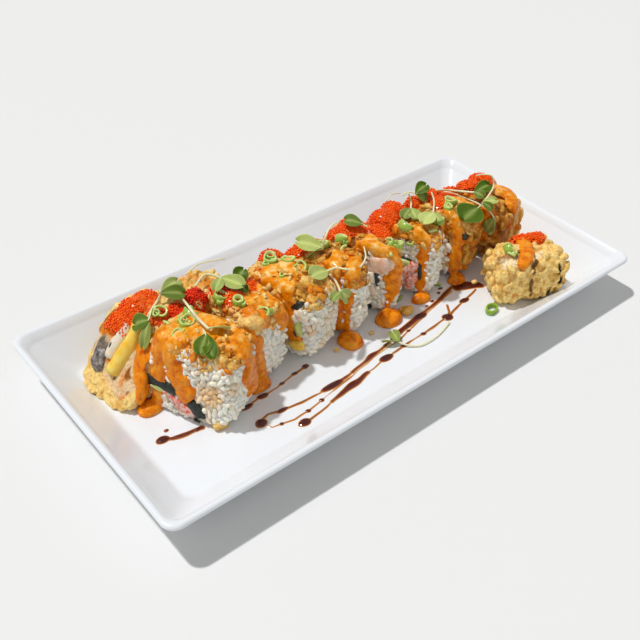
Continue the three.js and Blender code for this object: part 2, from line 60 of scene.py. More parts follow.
def make_camera():
    """The camera, turned by its azimuth and elevation and then rolled."""
    azimuth, elevation, roll = (
        math.radians(v) for v in (CAMERA_AZIMUTH, CAMERA_ELEVATION, CAMERA_ROLL))
    back = Vector((math.sin(azimuth) * math.cos(elevation),
                   -math.cos(azimuth) * math.cos(elevation), math.sin(elevation)))
    right = Vector((0, 0, 1)).cross(back).normalized()
    up = back.cross(right)
    level_right, level_up = right.copy(), up.copy()
    right = level_right * math.cos(roll) + level_up * math.sin(roll)
    up = level_up * math.cos(roll) - level_right * math.sin(roll)
    data = bpy.data.cameras.new("camera")
    data.lens = CAMERA_LENS
    data.sensor_width = CAMERA_SENSOR
    camera = bpy.data.objects.new("camera", data)
    turn = Matrix((right, up, back)).transposed().to_4x4()
    camera.matrix_world = Matrix.Translation(Vector(CAMERA_PLACE) * MM) @ turn
    bpy.context.scene.collection.objects.link(camera)
    bpy.context.scene.camera = camera


make_camera()

# Shape data, as in the solids

PLATE_LENGTH = 300
PLATE_WIDTH = 142.4
PLATE_HEIGHT = 24
RIM_CORNER = 6.5
WELL_CORNER = 6
LIP_ROUND = 1.5
WALL_TOP_INSET = 3
WELL_INSET = 22
LIP_FALL = 0.35
WELL_FLOOR = 6
WELL_FILLET = 4.5
FOOT_INSET = 29
FOOT_WIDTH = 6
FOOT_DEPTH = 1.6
UNDERSIDE_INSET = 24
UNDERSIDE_HEIGHT = 2.4

# A slice's plain form: its centre, the turn of its cut face, the slant of its top, thickness,
# width, height and squareness
Bar = namedtuple("Bar", "x y z turn slant thick wide high square")
SLICES = {
    "slice_01": Bar(-107, 28, 25, 14, -0.72, 21, 37, 38, 3.4),
    "slice_02": Bar(-90, -4, 25.5, 26, -0.14, 25, 45, 40, 4),
    "slice_03": Bar(-59, 9, 26, 8, 0, 23, 43, 40, 4),
    "slice_04": Bar(-30, 8, 26.3, 16, 0, 23, 46, 41, 4),
    "slice_05": Bar(-3, 8, 26, 26, 0, 21, 43, 40, 4),
    "slice_06": Bar(23, 10, 26, 28, 0, 21, 43, 40, 4),
    "slice_07": Bar(50, 8, 26, 26, 0, 21, 43, 40, 4),
    "slice_08": Bar(78, 7, 26, 22, 0, 21, 43, 40, 4),
    "slice_09": Bar(110, 5, 25.5, 12, 0.12, 28, 43, 39, 3.2),
    "slice_10": Bar(97, -39, 19.7, 68, 0, 26, 43, 27.5, 4),
}
BACK_CHUNK = Bar(-70, 29, 27, 20, 0, 24, 28, 40, 3)
BATTERED = ("slice_01", "slice_09", "slice_10")
RICE_SLICES = tuple(name for name in SLICES if name not in BATTERED)
EDGE_SHARPNESS = 7
SEAM_GAP = 0.3
REST_GAP = 0.3
# Farther than any slice reaches from its centre, and how often that is halved to find the plate
FAR = 90.0
HALVINGS = 18
# The sauce's height where there is none, and the height from which it hides what lies under it
SAUCE_EDGE = -1.6
SAUCE_COVERS = -1.2

# A point on each plane between neighbours that don't stand side by side, and its direction
EXTRA_SEAMS = (
    ("slice_01", "slice_02", (-100, 13.5), 117),
    ("slice_01", "slice_03", (-82.5, 30), 180),
    ("slice_09", "slice_10", (105, -20.2), 90),
    ("slice_08", "slice_10", (84, -18.8), 90),
)

# Mounds of roe: x, y, radius, height
ROE_MOUNDS = (
    (-112, 34, 8, 3), (-103, 33, 9, 3.2), (-95, 35, 8, 3), (-96, 22, 7, 2.5),
    (-86, 18, 8, 3), (-77, 20, 7, 3), (-64, 17, 6, 3), (-63, 8, 7, 3),
    (-50, 12, 7, 3), (-27, 26, 8, 4), (-14, 23, 8, 4), (12, 23, 7, 3.4), (20, 19, 9, 6),
    (31, 8, 9, 3), (41, 17, 10, 4.4), (52, 21, 8, 4), (66, 20, 7, 3.6), (77, 17, 8, 3.6),
    (75, 8, 7, 2.6), (89, 14, 7, 3), (95, 22, 6, 4.4), (104, 14, 8, 3.4), (114, 13, 9, 4),
    (102, -29, 7, 2.6), (109, -32, 8, 3),
)
RED_MOUNDS = ((-86, 18), (-77, 20), (-64, 17))
# Bumps of batter
FLAKES = ((-78, 37, 6, 3.5), (-62, 31, 6, 5), (-70, 24, 7, 3))

# Runs of sauce on each slice: radius, thickness and the points the run passes
SAUCE_RUNS = {
    "slice_01": (
        (4.5, 2.6, ((-104, 14, 37), (-109, 15, 32), (-113, 12, 24), (-115, 8, 14))),
        (5, 1.8, ((-108, 12, 32), (-105, 14, 36))),
    ),
    "slice_02": (
        (5, 3.0, ((-98, -2, 46), (-104, 0, 40), (-103, -4, 31), (-102, -9, 22))),
        (6, 2.6, ((-98, 8, 45), (-104, 6, 37))),
        (4.2, 2.8, ((-104, 6, 37), (-107, 4, 24), (-110, 4, 12))),
        (11, 2.4, ((-100, 5, 46), (-90, 4, 47), (-82, 9, 46), (-80, -4, 46))),
        (6, 2.2, ((-92, -10, 46), (-82, -14, 45))),
        (6, 2.6, ((-79, -14, 45), (-78, -22, 38), (-76, -24, 28), (-74, -22, 20))),
    ),
    "slice_03": (
        (7, 2.4, ((-46, 8, 45), (-47, -5, 44), (-48, -12, 38))),
        (7, 2.0, ((-53, 0, 46), (-60, 5, 46))),
        (7, 2.8, ((-70, -10, 42), (-68, -14, 28), (-65, -14, 12))),
    ),
    "slice_04": (
        (7, 2.6, ((-36, 12, 47), (-40, 5, 42), (-41, -2, 30), (-40, -5, 22))),
        (6, 2.6, ((-27, 13, 48), (-34, 4, 47), (-40, -1, 44), (-40, -5, 34))),
        (4.5, 1.8, ((-24, 4, 47), (-22, 12, 47))),
    ),
    "slice_05": (
        (5.5, 2.6, ((-3, 6, 47), (-9, 0, 45), (-13, -6, 39))),
        (3.2, 3.0, ((-9, -2, 44), (-10, -4, 28), (-9, -5, 11))),
        (5, 2.4, ((2, -1, 46), (-5, -9, 42))),
        (3, 2.8, ((-4, -9, 38), (-7, -9, 24), (-8, -10, 12))),
    ),
    "slice_06": (
        (5, 3.0, ((18, 2, 46), (22, -8, 43), (24, -12, 34), (22, -10, 24))),
        (3.5, 3.0, ((22, -11, 30), (21, -11, 18), (20, -11, 9))),
        (4.5, 1.8, ((22, 6, 46), (16, 5, 45))),
    ),
    "slice_07": (
        (3.8, 3.0, ((48, -1, 46), (47, -8, 43), (46, -9, 32), (46, -8, 22))),
        (3, 3.2, ((46, -8, 24), (46, -9, 14), (45, -10, 9))),
        (5, 2.0, ((41, 5, 44), (44, -3, 44))),
    ),
    "slice_08": (
        (3.8, 3.0, ((73, 0, 46), (72, -6, 45), (72, -9, 34), (73, -9, 22))),
        (3, 3.2, ((73, -9, 24), (73, -9, 14), (72, -9, 9))),
        (5, 1.8, ((86, -2, 46), (82, 6, 46))),
    ),
    "slice_09": (
        (5, 1.8, ((100, -4, 45), (97, -7, 37), (98, -6, 24))),
        (6, 1.8, ((114, 2, 45), (116, -5, 44), (114, -11, 40))),
    ),
    "slice_10": (
        (5, 1.6, ((101, -32, 35), (95, -38, 33))),
        (4, 1.4, ((92, -41, 33), (85, -46, 32))),
    ),
}
# Sauce run out on the plate by a slice: x, y, radius along X, radius along Y, height
PUDDLES = {
    "slice_02": (-113, 6, 8, 6, 6), "slice_03": (-65, -12, 9, 6, 7),
    "slice_05": (-8, -15, 8, 8, 6), "slice_06": (20, -14, 9, 8, 7),
    "slice_07": (46, -12, 7, 5, 5), "slice_08": (74, -12, 7, 5, 5),
}

# Scallion rings: slice, x, y
SCALLIONS = (
    ("slice_02", -98, 2), ("slice_02", -85, 11), ("slice_02", -90, 6), ("slice_01", -95, 20),
    ("slice_03", -68, 12), ("slice_03", -64, 3), ("slice_03", -58, -8), ("slice_04", -32, 21),
    ("slice_04", -26, 14), ("slice_04", -24, 6), ("slice_05", -2, 16), ("slice_06", 9, 15),
    ("slice_06", 26, -2), ("slice_06", 29, -6), ("slice_07", 43, 3), ("slice_07", 62, -4),
    ("slice_08", 79, 5), ("slice_10", 87, -34),
)

# Small bits and slivers of scallion: slice, x, y
SCALLION_BITS = (
    ("slice_04", -36, 19), ("slice_04", -30, 19), ("slice_04", -28, 13), ("slice_04", -30, 6),
    ("slice_04", -38, 10), ("slice_04", -25, 8), ("slice_04", -36, 6), ("slice_07", 38, 0),
    ("slice_07", 37, -5), ("slice_07", 42, -3), ("slice_06", 23, -4), ("slice_06", 22, -8),
    ("slice_08", 73, 2), ("slice_07", 53, -8), ("slice_08", 62, -8), ("slice_06", 33, 19),
    ("slice_03", -73, 10), ("slice_02", -88, 13), ("slice_02", -90, 6), ("slice_02", -96, 13),
    ("slice_03", -74, 2), ("slice_08", 74, 1), ("slice_09", 96, 12),
    ("slice_10", 84, -37), ("slice_05", -6, 16), ("slice_05", 4, 8), ("slice_07", 52, 4),
)

# Sprouts: stem radius, points of the stem from where the leaves spring, and for each leaf its
# tip, width, roll in degrees and paleness
SPROUTS = (
    (0.9, ((-89.5, 28, 49.5), (-92, 28.5, 45.5), (-98, 23.5, 46.5), (-101.5, 22, 44.5)),
     (((-76.5, 33.5, 48.5), 7, 20, 0.45), ((-79, 23.5, 47.5), 8, 30, 0.1))),
    (0.7, ((-102.5, 18.5, 46), (-98.5, 22, 48.5)),
     (((-107.5, 25, 41.5), 9, -30, 0.05), ((-109.5, 14, 35), 5, -15, 0.35))),
    (0.7, ((-88.5, -7, 47.5), (-86.5, 1, 47), (-87.5, 4.5, 51.5), (-83.5, 15.5, 47)),
     (((-98, -15.5, 46), 8, -10, 0.05), ((-94, -20.5, 45), 7, 5, 0.0))),
    (0.9, ((-86.5, -6, 49.5), (-87.5, 0, 51.5), (-88, 5.5, 54), (-83.5, 19, 48.5)),
     (((-77.5, -11, 48), 7, -40, 0.75),)),
    (0.7, ((-56, 16, 48.5), (-57.5, 12.5, 47)),
     (((-50, 17, 53), 8, 25, 0.0), ((-57, 5, 49), 5, 15, 0.05))),
    (0.8, ((-61, 21, 49.5), (-64.5, 24.5, 51), (-68, 25.5, 51.5), (-76, 20.5, 52)),
     (((-57.5, 6, 52), 8, 25, 0.5), ((-71, 12.5, 51), 6, -10, 0.5))),
    (0.7, ((-6.5, 11.5, 49), (-6, 10.5, 55.5), (0.5, 13.5, 58.5), (7, 14.5, 58.5)),
     (((-17.5, 20.5, 53.5), 9, -30, 0.75), ((-17, 11, 47.5), 4, 50, 0.05))),
    (0.7, ((-14, -1.5, 46), (-9.5, -2.5, 46.5), (-6, -7.5, 47), (0.5, -8.5, 45.5),
           (8, -5, 46.5), (15, 4, 45.5)),
     (((-27.5, -3.5, 50), 9, -25, 0.65),)),
    (0.9, ((-14, -12, 39.5), (-11, -5, 40), (-12, -1, 43)),
     (((-9.5, -13, 33.5), 8, 55, 0.6), ((-25.5, -17.5, 42.5), 5, -15, 0.35))),
    (0.6, ((21.5, 13.5, 51.5), (23, 10.5, 50.5)),
     (((14.5, 20.5, 53.5), 7, -30, 0.15),)),
    (0.6, ((65.5, 18, 51.5), (63, 21.5, 51.5), (58.5, 22, 50.5)),
     (((73.5, 18, 54.5), 8, 20, 0.0), ((70.5, 14, 48), 6, 40, 0.1))),
    (0.7, ((58, 14, 46.5), (63, 19, 47), (61, 20, 52.5)),
     (((44, 6.5, 49), 7, -10, 0.2), ((50.5, 2, 48.5), 7, 10, 0.45))),
    (0.7, ((61.5, 1, 49), (71, 9.5, 48.5), (73, 14, 51.5)),
     (((46, -5.5, 51.5), 9, -10, 0.85), ((59, -7, 48.5), 5, 15, 0.5))),
    (0.8, ((98, 4, 47), (94, 10.5, 46), (91, 17.5, 44.5), (77, 14.5, 51)),
     (((112, 4.5, 47.5), 8, 20, 0.0), ((99.5, -2.5, 46.5), 6, 30, 0.1))),
    (0.6, ((96.5, -13.5, 39.5), (96, -8.5, 43), (94, -1.5, 44.5), (93, 7, 44), (85, 10.5, 48.5),
           (82.5, 13.5, 48.5)),
     (((97, -9.5, 27.5), 8, -100, 0.4),)),
    (0.7, ((89.5, -6.5, 45.5), (93, -5.5, 45.5)),
     (((70.5, -11.5, 47), 16, -15, 0.0),)),
    (0.7, ((92, -7, 48), (101.5, -3.5, 48.5), (110.5, 1.5, 48), (110, 3.5, 53.5),
           (108, 7.5, 53.5), (109, 13.5, 49.5)),
     (((104, -8, 46), 5, 25, 0.75), ((96, -12, 44.5), 5, 35, 0.1))),
    (0.6, ((9.5, -32, 8.5), (14, -37, 7), (20, -40, 7), (31, -39.5, 7), (43.5, -36, 7)),
     (((14, -22.5, 7.5), 6, -10, 0.3), ((2, -27, 9), 5, 40, 0.3))),
)
# Thin bare stems behind the row
BARE_STEMS = (
    ((-73, 33, 50), (-64, 35, 51), (-50, 34, 48.5)),
    ((50, 25, 49), (56, 27, 50), (61, 26, 49)),
)
LOOSE_SCALLION = (69, -42.5, 4.2, 3)

# Corners cut from the back of a slice so that the next cut face shows: how far the corner
# reaches, as the sum of the places across and against the thickness
CUT_CORNERS = {"slice_05": 19.5, "slice_06": 15.5, "slice_07": 21}

# Syrup strokes on the plate: width, then the points; and beads: x, y, radius along, across
STROKES = (
    (2.2, ((-120, -13.5), (-115, -16), (-108.5, -17.5), (-101, -18.5))),
    (0.9, ((-86, -20), (-77, -20.5), (-67, -19), (-58, -18.5), (-45, -16), (-38, -15.5))),
    (1.3, ((-78, -32), (-72.5, -30.5), (-65, -32.5), (-55, -34), (-44, -34.4), (-28.5, -33.6),
           (-13.5, -31), (2.5, -28.6), (17, -25.3), (24, -23.5))),
    (2.3, ((-22, -32.6), (-13.5, -31), (2.5, -28.6), (8, -27.4))),
    (2.6, ((-43, -42.3), (-34, -40.7), (-22.5, -38.7), (-16, -37.7))),
    (2.4, ((17, -25), (24, -23.5), (35.5, -22), (52, -18.5), (67.5, -14.5), (72.5, -15.5))),
    (0.7, ((-78, -32), (-75.5, -38), (-71, -39), (-64, -40.5), (-56, -40), (-46.5, -38.5),
           (-29, -35.5), (-16, -33), (-1.5, -30.5), (13, -29.5), (22, -27), (34, -24),
           (49, -20.5), (65, -17))),
    (1.1, ((-65, -45), (-59, -45), (-52, -44), (-44.5, -42.5), (-22.5, -38.5), (-1.5, -35.5),
           (12, -34), (26.5, -33.5), (35.5, -32.5), (46.5, -31.5), (55.5, -29.5),
           (64.5, -27), (76.5, -24.5))),
    (1.0, ((46.5, -31.5), (50.5, -29), (54, -24))),
    (5.0, ((69, -15.5), (75, -18), (81, -22))),
)
BEADS = (
    (-119, -14, 3.6, 2.6), (-114.5, -10, 1.4, 1.0), (-103, -18.3, 2.4, 1.3),
    (-77, -20.5, 3.8, 1.6), (-67, -19, 3.4, 1.8), (-54.5, -17.8, 2.0, 1.0),
    (-45, -16, 2.2, 1.1), (-38, -15.5, 2.2, 1.6),
    (-78, -33, 3.2, 2.6), (-65, -32.5, 3.6, 1.4), (-36, -34, 7.5, 2.2), (-71, -39, 1.4, 1.1),
    (-62, -44.8, 3.4, 2.4), (-56, -40, 1.6, 1.2), (-46.5, -38.5, 1.6, 1.2),
    (24, -23.5, 3.4, 1.6), (35.5, -22, 5.0, 2.2),
    (22, -27, 1.6, 1.0), (-1.5, -35.5, 4.6, 2.4), (12, -34, 2.4, 1.4), (26.5, -33.5, 1.8, 1.2),
    (46.5, -31.5, 3.4, 3.0), (64.5, -27, 3.6, 2.0), (58, -14, 1.3, 1.0), (49.5, -16.5, 1.6, 1.1),
    (44.5, -18, 1.0, 0.8), (61.5, -12, 1.9, 1.0),
)

# Numbers that vary over space

def hashed(cell, seed):
    """A random number from 0 to 1 for each whole-number cell."""
    n = cell[..., 0] * 73856093 ^ cell[..., 1] * 19349663 ^ cell[..., 2] * 83492791
    n = (n ^ seed * 40503) & 0xFFFFFFFF
    n = ((n ^ n >> 15) * 0x2C1B3C6D) & 0xFFFFFFFF
    n = ((n ^ n >> 12) * 0x297A2D39) & 0xFFFFFFFF
    return (n ^ n >> 15) / 0xFFFFFFFF


def noise(points, size, seed=0):
    """Smooth noise from -1 to 1 with lumps of about the given size."""
    q = points / size
    cell = np.floor(q).astype(np.int64)
    t = q - cell
    t = t * t * (3 - 2 * t)
    total = 0
    for corner in np.ndindex(2, 2, 2):
        weight = np.prod(np.where(corner, t, 1 - t), axis=1)
        total = total + weight * hashed(cell + np.array(corner), seed)
    return 2 * total - 1


def bubbles(points, size, seed=0):
    """Rounded lumps: 1 at the middle of each, 0 between them, with the lump's own number."""
    q = points / size
    cell = np.floor(q).astype(np.int64)
    best = np.full(len(points), 9.0)
    own = np.zeros(len(points))
    for step in np.ndindex(3, 3, 3):
        c = cell + np.array(step) - 1
        middle = c + np.stack([hashed(c, seed + k) for k in (1, 2, 3)], axis=1)
        d = np.sum((q - middle) ** 2, axis=1)
        own = np.where(d < best, hashed(c, seed + 4), own)
        best = np.minimum(best, d)
    return np.maximum(0, 1 - best / 0.72), own


def mound(distance, radius, height):
    """Height of a rounded mound at a distance from its middle."""
    return height * np.maximum(0, 1 - (distance / radius) ** 2) ** 1.5


def smooth_step(x, low, high):
    """0 up to the low bound, 1 from the high one, and smooth between them."""
    t = np.clip((x - low) / (high - low), 0, 1)
    return t * t * (3 - 2 * t)


def run_distance(points, run):
    """Distance to the nearest of the lines through a run's points."""
    best = np.full(len(points), 1e9)
    for start, end in zip(run[:-1], run[1:]):
        a, b = np.array(start, float), np.array(end, float)
        t = np.clip((points - a) @ (b - a) / max((b - a) @ (b - a), 1e-9), 0, 1)
        best = np.minimum(best, np.linalg.norm(points - a - t[:, None] * (b - a), axis=1))
    return best


def shaken(points, amount, size, seed):
    """Points moved about by smooth noise, so that a regular form turns uneven."""
    return points + amount * np.stack([noise(points, size, seed + k) for k in range(3)], axis=1)


# Meshes

UP = np.array([0, 0, 1.0])


def mesh_of(name, points, faces):
    """A mesh from points in millimetres."""
    mesh = bpy.data.meshes.new(name)
    mesh.from_pydata((np.asarray(points) * MM).tolist(), [], [list(f) for f in faces])
    return mesh


def shown(name, data):
    """An object of the scene from a mesh, a light or a camera."""
    made = bpy.data.objects.new(name, data)
    bpy.context.scene.collection.objects.link(made)
    return made


def give_numbers(mesh, name, values):
    """Three numbers for each point, which the materials find by name."""
    colour = mesh.color_attributes.new(name, "FLOAT_COLOR", "POINT")
    colour.data.foreach_set("color", np.c_[values, np.ones(len(values))].ravel())


def make(name, points, faces, surface, slot, tones=None, paint=None):
    """A piece of the part, with a number (tones) or a colour (paint) for each point."""
    mesh = mesh_of(name, points, faces)
    mesh.materials.append(surface)
    mesh.polygons.foreach_set("use_smooth", np.full(len(mesh.polygons), True))
    if tones is not None:
        give_numbers(mesh, "tone", np.repeat(np.asarray(tones, float)[:, None], 3, axis=1))
    if paint is not None:
        give_numbers(mesh, "paint", paint)
    piece = shown(name, mesh)
    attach(piece, "root")
    return piece


def joined(parts):
    """One list of points, faces and tones from several."""
    points, faces, tones, count = [], [], [], 0
    for p, f, t in parts:
        f = f.tolist() if isinstance(f, np.ndarray) else f
        points.append(np.asarray(p, float))
        faces.extend([[i + count for i in face] for face in f])
        tones.append(np.broadcast_to(t, len(p)))
        count += len(p)
    return np.vstack(points), faces, np.concatenate(tones)


def make_joined(name, parts, surface, slot):
    points, faces, tones = joined(parts)
    return make(name, points, faces, surface, slot, tones)


def remeshed(parts, voxel, rounds):
    """The outer skin of overlapping closed forms, softened in rounds: points and faces."""
    points, faces, _ = joined(parts)
    mesh = mesh_of("raw", points, faces)
    rough = shown("raw", mesh)
    skin = rough.modifiers.new("skin", "REMESH")
    skin.mode = "VOXEL"
    skin.voxel_size = voxel * MM
    soften = rough.modifiers.new("soften", "SMOOTH")
    soften.factor = 0.5
    soften.iterations = rounds
    done = bpy.data.meshes.new_from_object(
        rough.evaluated_get(bpy.context.evaluated_depsgraph_get()))
    out = np.empty(len(done.vertices) * 3)
    done.vertices.foreach_get("co", out)
    quads = [list(p.vertices) for p in done.polygons]
    bpy.data.objects.remove(rough)
    bpy.data.meshes.remove(mesh)
    bpy.data.meshes.remove(done)
    return out.reshape(-1, 3) / MM, quads


def kept_faces(points, faces, keep):
    """Only the faces whose points are all kept, with the points that they use."""
    chosen = [f for f in faces if all(keep[i] for i in f)]
    used = sorted({i for f in chosen for i in f})
    place = {old: new for new, old in enumerate(used)}
    return points[used], [[place[i] for i in f] for f in chosen], used


def box_grid(size, cell):
    """The points of a gridded box about the origin, and its quads, facing out."""
    steps = [max(2, round(side / cell)) for side in size]
    points, quads = [], []
    for axis in range(3):
        u, v = (axis + 1) % 3, (axis + 2) % 3
        gu, gv = np.meshgrid(np.arange(steps[u] + 1), np.arange(steps[v] + 1), indexing="ij")
        for side in (0, steps[axis]):
            p = np.zeros(gu.shape + (3,), int)
            p[..., axis], p[..., u], p[..., v] = side, gu, gv
            index = np.arange(gu.size).reshape(gu.shape) + sum(len(q) for q in points)
            a, b, c, d = index[:-1, :-1], index[1:, :-1], index[1:, 1:], index[:-1, 1:]
            order = (a, b, c, d) if side else (a, d, c, b)
            quads.append(np.stack([o.ravel() for o in order], axis=1))
            points.append(p.reshape(-1, 3))
    grid, back = np.unique(np.vstack(points), axis=0, return_inverse=True)
    back = back.ravel()
    return (grid / np.array(steps) - 0.5) * np.array(size), back[np.vstack(quads)]


def surface_points(points, quads, count):
    """Random places on a mesh of quads, with their outward directions."""
    quads = np.asarray(quads)
    corners = points[np.vstack([quads[:, [0, 1, 2]], quads[:, [0, 2, 3]]])]
    cross = np.cross(corners[:, 1] - corners[:, 0], corners[:, 2] - corners[:, 0])
    area = np.linalg.norm(cross, axis=1)
    pick = rng.choice(len(corners), count, p=area / area.sum())
    r, s = np.sqrt(rng.random(count)), rng.random(count)
    weights = np.stack([1 - r, r * (1 - s), r * s], axis=1)
    place = np.sum(weights[:, :, None] * corners[pick], axis=1)
    return place, cross[pick] / np.maximum(area[pick], 1e-9)[:, None]


def thinned(points, spacing):
    """Which points to keep so that no two lie closer than the spacing."""
    cells, kept = {}, []
    for i, p in enumerate(points):
        x, y, z = np.floor(p / spacing).astype(int)
        near = (j for d in np.ndindex(3, 3, 3)
                for j in cells.get((x + d[0] - 1, y + d[1] - 1, z + d[2] - 1), ()))
        if all(np.sum((points[j] - p) ** 2) >= spacing * spacing for j in near):
            cells.setdefault((x, y, z), []).append(i)
            kept.append(i)
    return np.array(kept, int)


def unit(v):
    return v / np.maximum(np.linalg.norm(v, axis=-1, keepdims=True), 1e-9)


def axes_from(along, outward):
    """Axes for small pieces that lie along a surface: along, across and out of it."""
    return np.stack([along, np.cross(outward, along), outward], axis=2)


def stood(outward):
    """Axes out of a surface, turned by chance."""
    helper = unit(rng.normal(size=outward.shape))
    return axes_from(unit(np.cross(outward, helper)), outward)


def random_sizes(count, *ranges):
    """Half sizes along three axes: for each its smallest and how much chance may add."""
    return np.stack([least + more * rng.random(count) for least, more in ranges], axis=1)


def scattered(template, places, axes, sizes, tones):
    """Copies of a small closed form, each with its own size along three axes."""
    points, faces = np.asarray(template[0]), np.asarray(template[1])
    sized = points[None] * sizes[:, None]
    world = np.einsum("nij,nkj->nki", axes, sized) + places[:, None]
    index = faces[None] + (np.arange(len(places)) * len(points))[:, None, None]
    return world.reshape(-1, 3), index.reshape(-1, faces.shape[1]), np.repeat(tones, len(points))


def ball(sides, levels, bend=0.0):
    """A closed unit ball of triangles, bent along its first axis."""
    points = [(-1, 0, 0)]
    for i in range(1, levels):
        angle = math.pi * i / levels
        points += [(-math.cos(angle), math.sin(angle) * math.cos(2 * math.pi * k / sides),
                    math.sin(angle) * math.sin(2 * math.pi * k / sides)) for k in range(sides)]
    points.append((1, 0, 0))
    faces = []
    for k in range(sides):
        n = (k + 1) % sides
        faces.append((0, 1 + n, 1 + k))
        last = 1 + (levels - 2) * sides
        faces.append((len(points) - 1, last + k, last + n))
        for i in range(levels - 2):
            a, b = 1 + i * sides + k, 1 + i * sides + n
            faces += [(a, b, b + sides), (a, b + sides, a + sides)]
    points = np.array(points)
    points[:, 2] += bend * (points[:, 0] ** 2 - 0.4)
    return points, faces


def lumpy(seed, sides, levels, depth):
    """An uneven crumb."""
    points, faces = ball(sides, levels)
    return points * (1 + depth * noise(points * 10 + seed * 31, 8, seed))[:, None], faces


def ring_faces(rings, sides):
    """Quads between rings of points that follow one another, and a cap at each end."""
    quads = [(a + k, a + (k + 1) % sides, a + sides + (k + 1) % sides, a + sides + k)
             for a in range(0, (rings - 1) * sides, sides) for k in range(sides)]
    caps = [tuple(reversed(range(sides))), tuple(range((rings - 1) * sides, rings * sides))]
    return quads + caps


def tube(line, radius, sides, smooth):
    """A round stem along a smooth curve through the points: points and faces."""
    line = np.array(line, float)
    ends = np.vstack([2 * line[0] - line[1], line, 2 * line[-1] - line[-2]])
    curve = []
    for i in range(1, len(ends) - 2):
        p0, p1, p2, p3 = ends[i - 1:i + 3]
        for t in np.arange(smooth) / smooth:
            curve.append(0.5 * (2 * p1 + (p2 - p0) * t + (2 * p0 - 5 * p1 + 4 * p2 - p3) * t ** 2
                                + (3 * p1 - p0 - 3 * p2 + p3) * t ** 3))
    curve = np.array(curve + [line[-1]])
    way = unit(np.gradient(curve, axis=0))
    side = unit(np.cross(way[0], [0.3, 0.2, 0.9]))
    radii = radius * np.linspace(1.0, 0.75, len(curve))
    points = []
    for i, p in enumerate(curve):
        side = unit(side - side @ way[i] * way[i])
        other = np.cross(way[i], side)
        for k in range(sides):
            angle = 2 * math.pi * k / sides
            points.append(p + radii[i] * (math.cos(angle) * side + math.sin(angle) * other))
    return np.array(points), ring_faces(len(curve), sides)


# The slices' form

def centre(spec):
    return np.array([spec.x, spec.y, spec.z], float)


def slice_axes(spec):
    """Directions along a slice's thickness, out of its cut face, and across it."""
    turn = math.radians(spec.turn)
    return (np.array([-math.cos(turn), -math.sin(turn), 0]),
            np.array([math.sin(turn), -math.cos(turn), 0]))


def bar_reach(spec, way):
    """Distance from the centre to the plain rounded bar along each direction."""
    along, across = slice_axes(spec)
    a = way @ along - spec.slant * way[:, 2]
    b = way @ across
    face = ((np.abs(b) * 2 / spec.wide) ** spec.square
            + (np.abs(way[:, 2]) * 2 / spec.high) ** spec.square) ** (1 / spec.square)
    return 1 / (face ** EDGE_SHARPNESS
                + (np.abs(a) * 2 / spec.thick) ** EDGE_SHARPNESS) ** (1 / EDGE_SHARPNESS)


def local(spec, points):
    """Place within a slice: along its thickness, across it and up, from its centre."""
    along, across = slice_axes(spec)
    d = points - centre(spec)
    return np.stack([d @ along - spec.slant * d[:, 2], d @ across, d[:, 2]], axis=1)


def placed(spec, a, b, c):
    """The point at a place within a slice."""
    along, across = slice_axes(spec)
    return centre(spec) + (a + spec.slant * c) * along + b * across + c * UP


def on_face(spec, out, places):
    """Points at places across and up on a cut face, some way out of it."""
    return [placed(spec, spec.thick / 2 + out, b, c) for b, c in places]


def seam_planes(name):
    """A point on each plane that bounds a slice, and the direction out of the slice."""
    planes = []
    order = list(SLICES)
    place = order.index(name)
    last = len(order) - 1
    for step in (-1, 1):
        if not (0 < place < last and 0 < place + step < last):
            continue
        left, right = sorted((place, place + step))
        a, b = SLICES[order[left]], SLICES[order[right]]
        axis_a, axis_b = slice_axes(a)[0], slice_axes(b)[0]
        middle = (centre(a) - axis_a * a.thick / 2 + centre(b) + axis_b * b.thick / 2) / 2
        planes.append((middle, unit(axis_a + axis_b) * -step))
    for first, second, at, towards in EXTRA_SEAMS:
        if name in (first, second):
            angle = math.radians(towards)
            sign = -1 if name == first else 1
            planes.append((np.array([*at, 0.0]),
                           sign * np.array([math.cos(angle), math.sin(angle), 0])))
    return planes


def corner_planes(name):
    """The seam planes of a slice, and the plane of its cut corner where it has one."""
    planes = seam_planes(name)
    if name in CUT_CORNERS:
        along, across = slice_axes(SLICES[name])
        normal = unit(across - along)
        planes.append((centre(SLICES[name]) + normal * CUT_CORNERS[name] / math.sqrt(2), normal))
    return planes


def well_height(inset):
    """Height of the plate's upper surface at a distance in from its edge."""
    slope = (PLATE_HEIGHT - WELL_FLOOR) / (WELL_INSET - WALL_TOP_INSET)
    rise = np.maximum((WELL_INSET - inset) * slope, 0)
    rounded = np.hypot(rise, WELL_FILLET / 2) - WELL_FILLET / 2
    return np.minimum(WELL_FLOOR + rounded, PLATE_HEIGHT)


def plate_top(x, y):
    """Height of the plate's upper surface at a place."""
    radius = WELL_CORNER
    dx = np.abs(x) - (PLATE_LENGTH / 2 - WELL_INSET - radius)
    dy = np.abs(y) - (PLATE_WIDTH / 2 - WELL_INSET - radius)
    outside = np.hypot(np.maximum(dx, 0), np.maximum(dy, 0))
    return well_height(WELL_INSET - (outside + np.minimum(np.maximum(dx, dy), 0) - radius))


def room_along(spec, way, planes):
    """How far each ray may run before a seam or the plate."""
    middle = centre(spec)
    room = np.full(len(way), FAR)
    for point, normal in planes:
        facing = way @ normal
        offset = normal @ (point - middle) - SEAM_GAP / 2
        room = np.where(facing > 1e-6, np.minimum(room, offset / np.maximum(facing, 1e-6)), room)

    def clear(distance):
        p = middle + way * distance[:, None]
        return p[:, 2] - plate_top(p[:, 0], p[:, 1]) - REST_GAP > 0

    # Where the plate is in the way, the ray is halved until it just ends above it
    low, high = np.zeros(len(way)), room.copy()
    free = clear(high)
    for _ in range(HALVINGS):
        half = (low + high) / 2
        above = clear(half)
        low, high = np.where(above, half, low), np.where(above, high, half)
    return np.where(free, room, low)


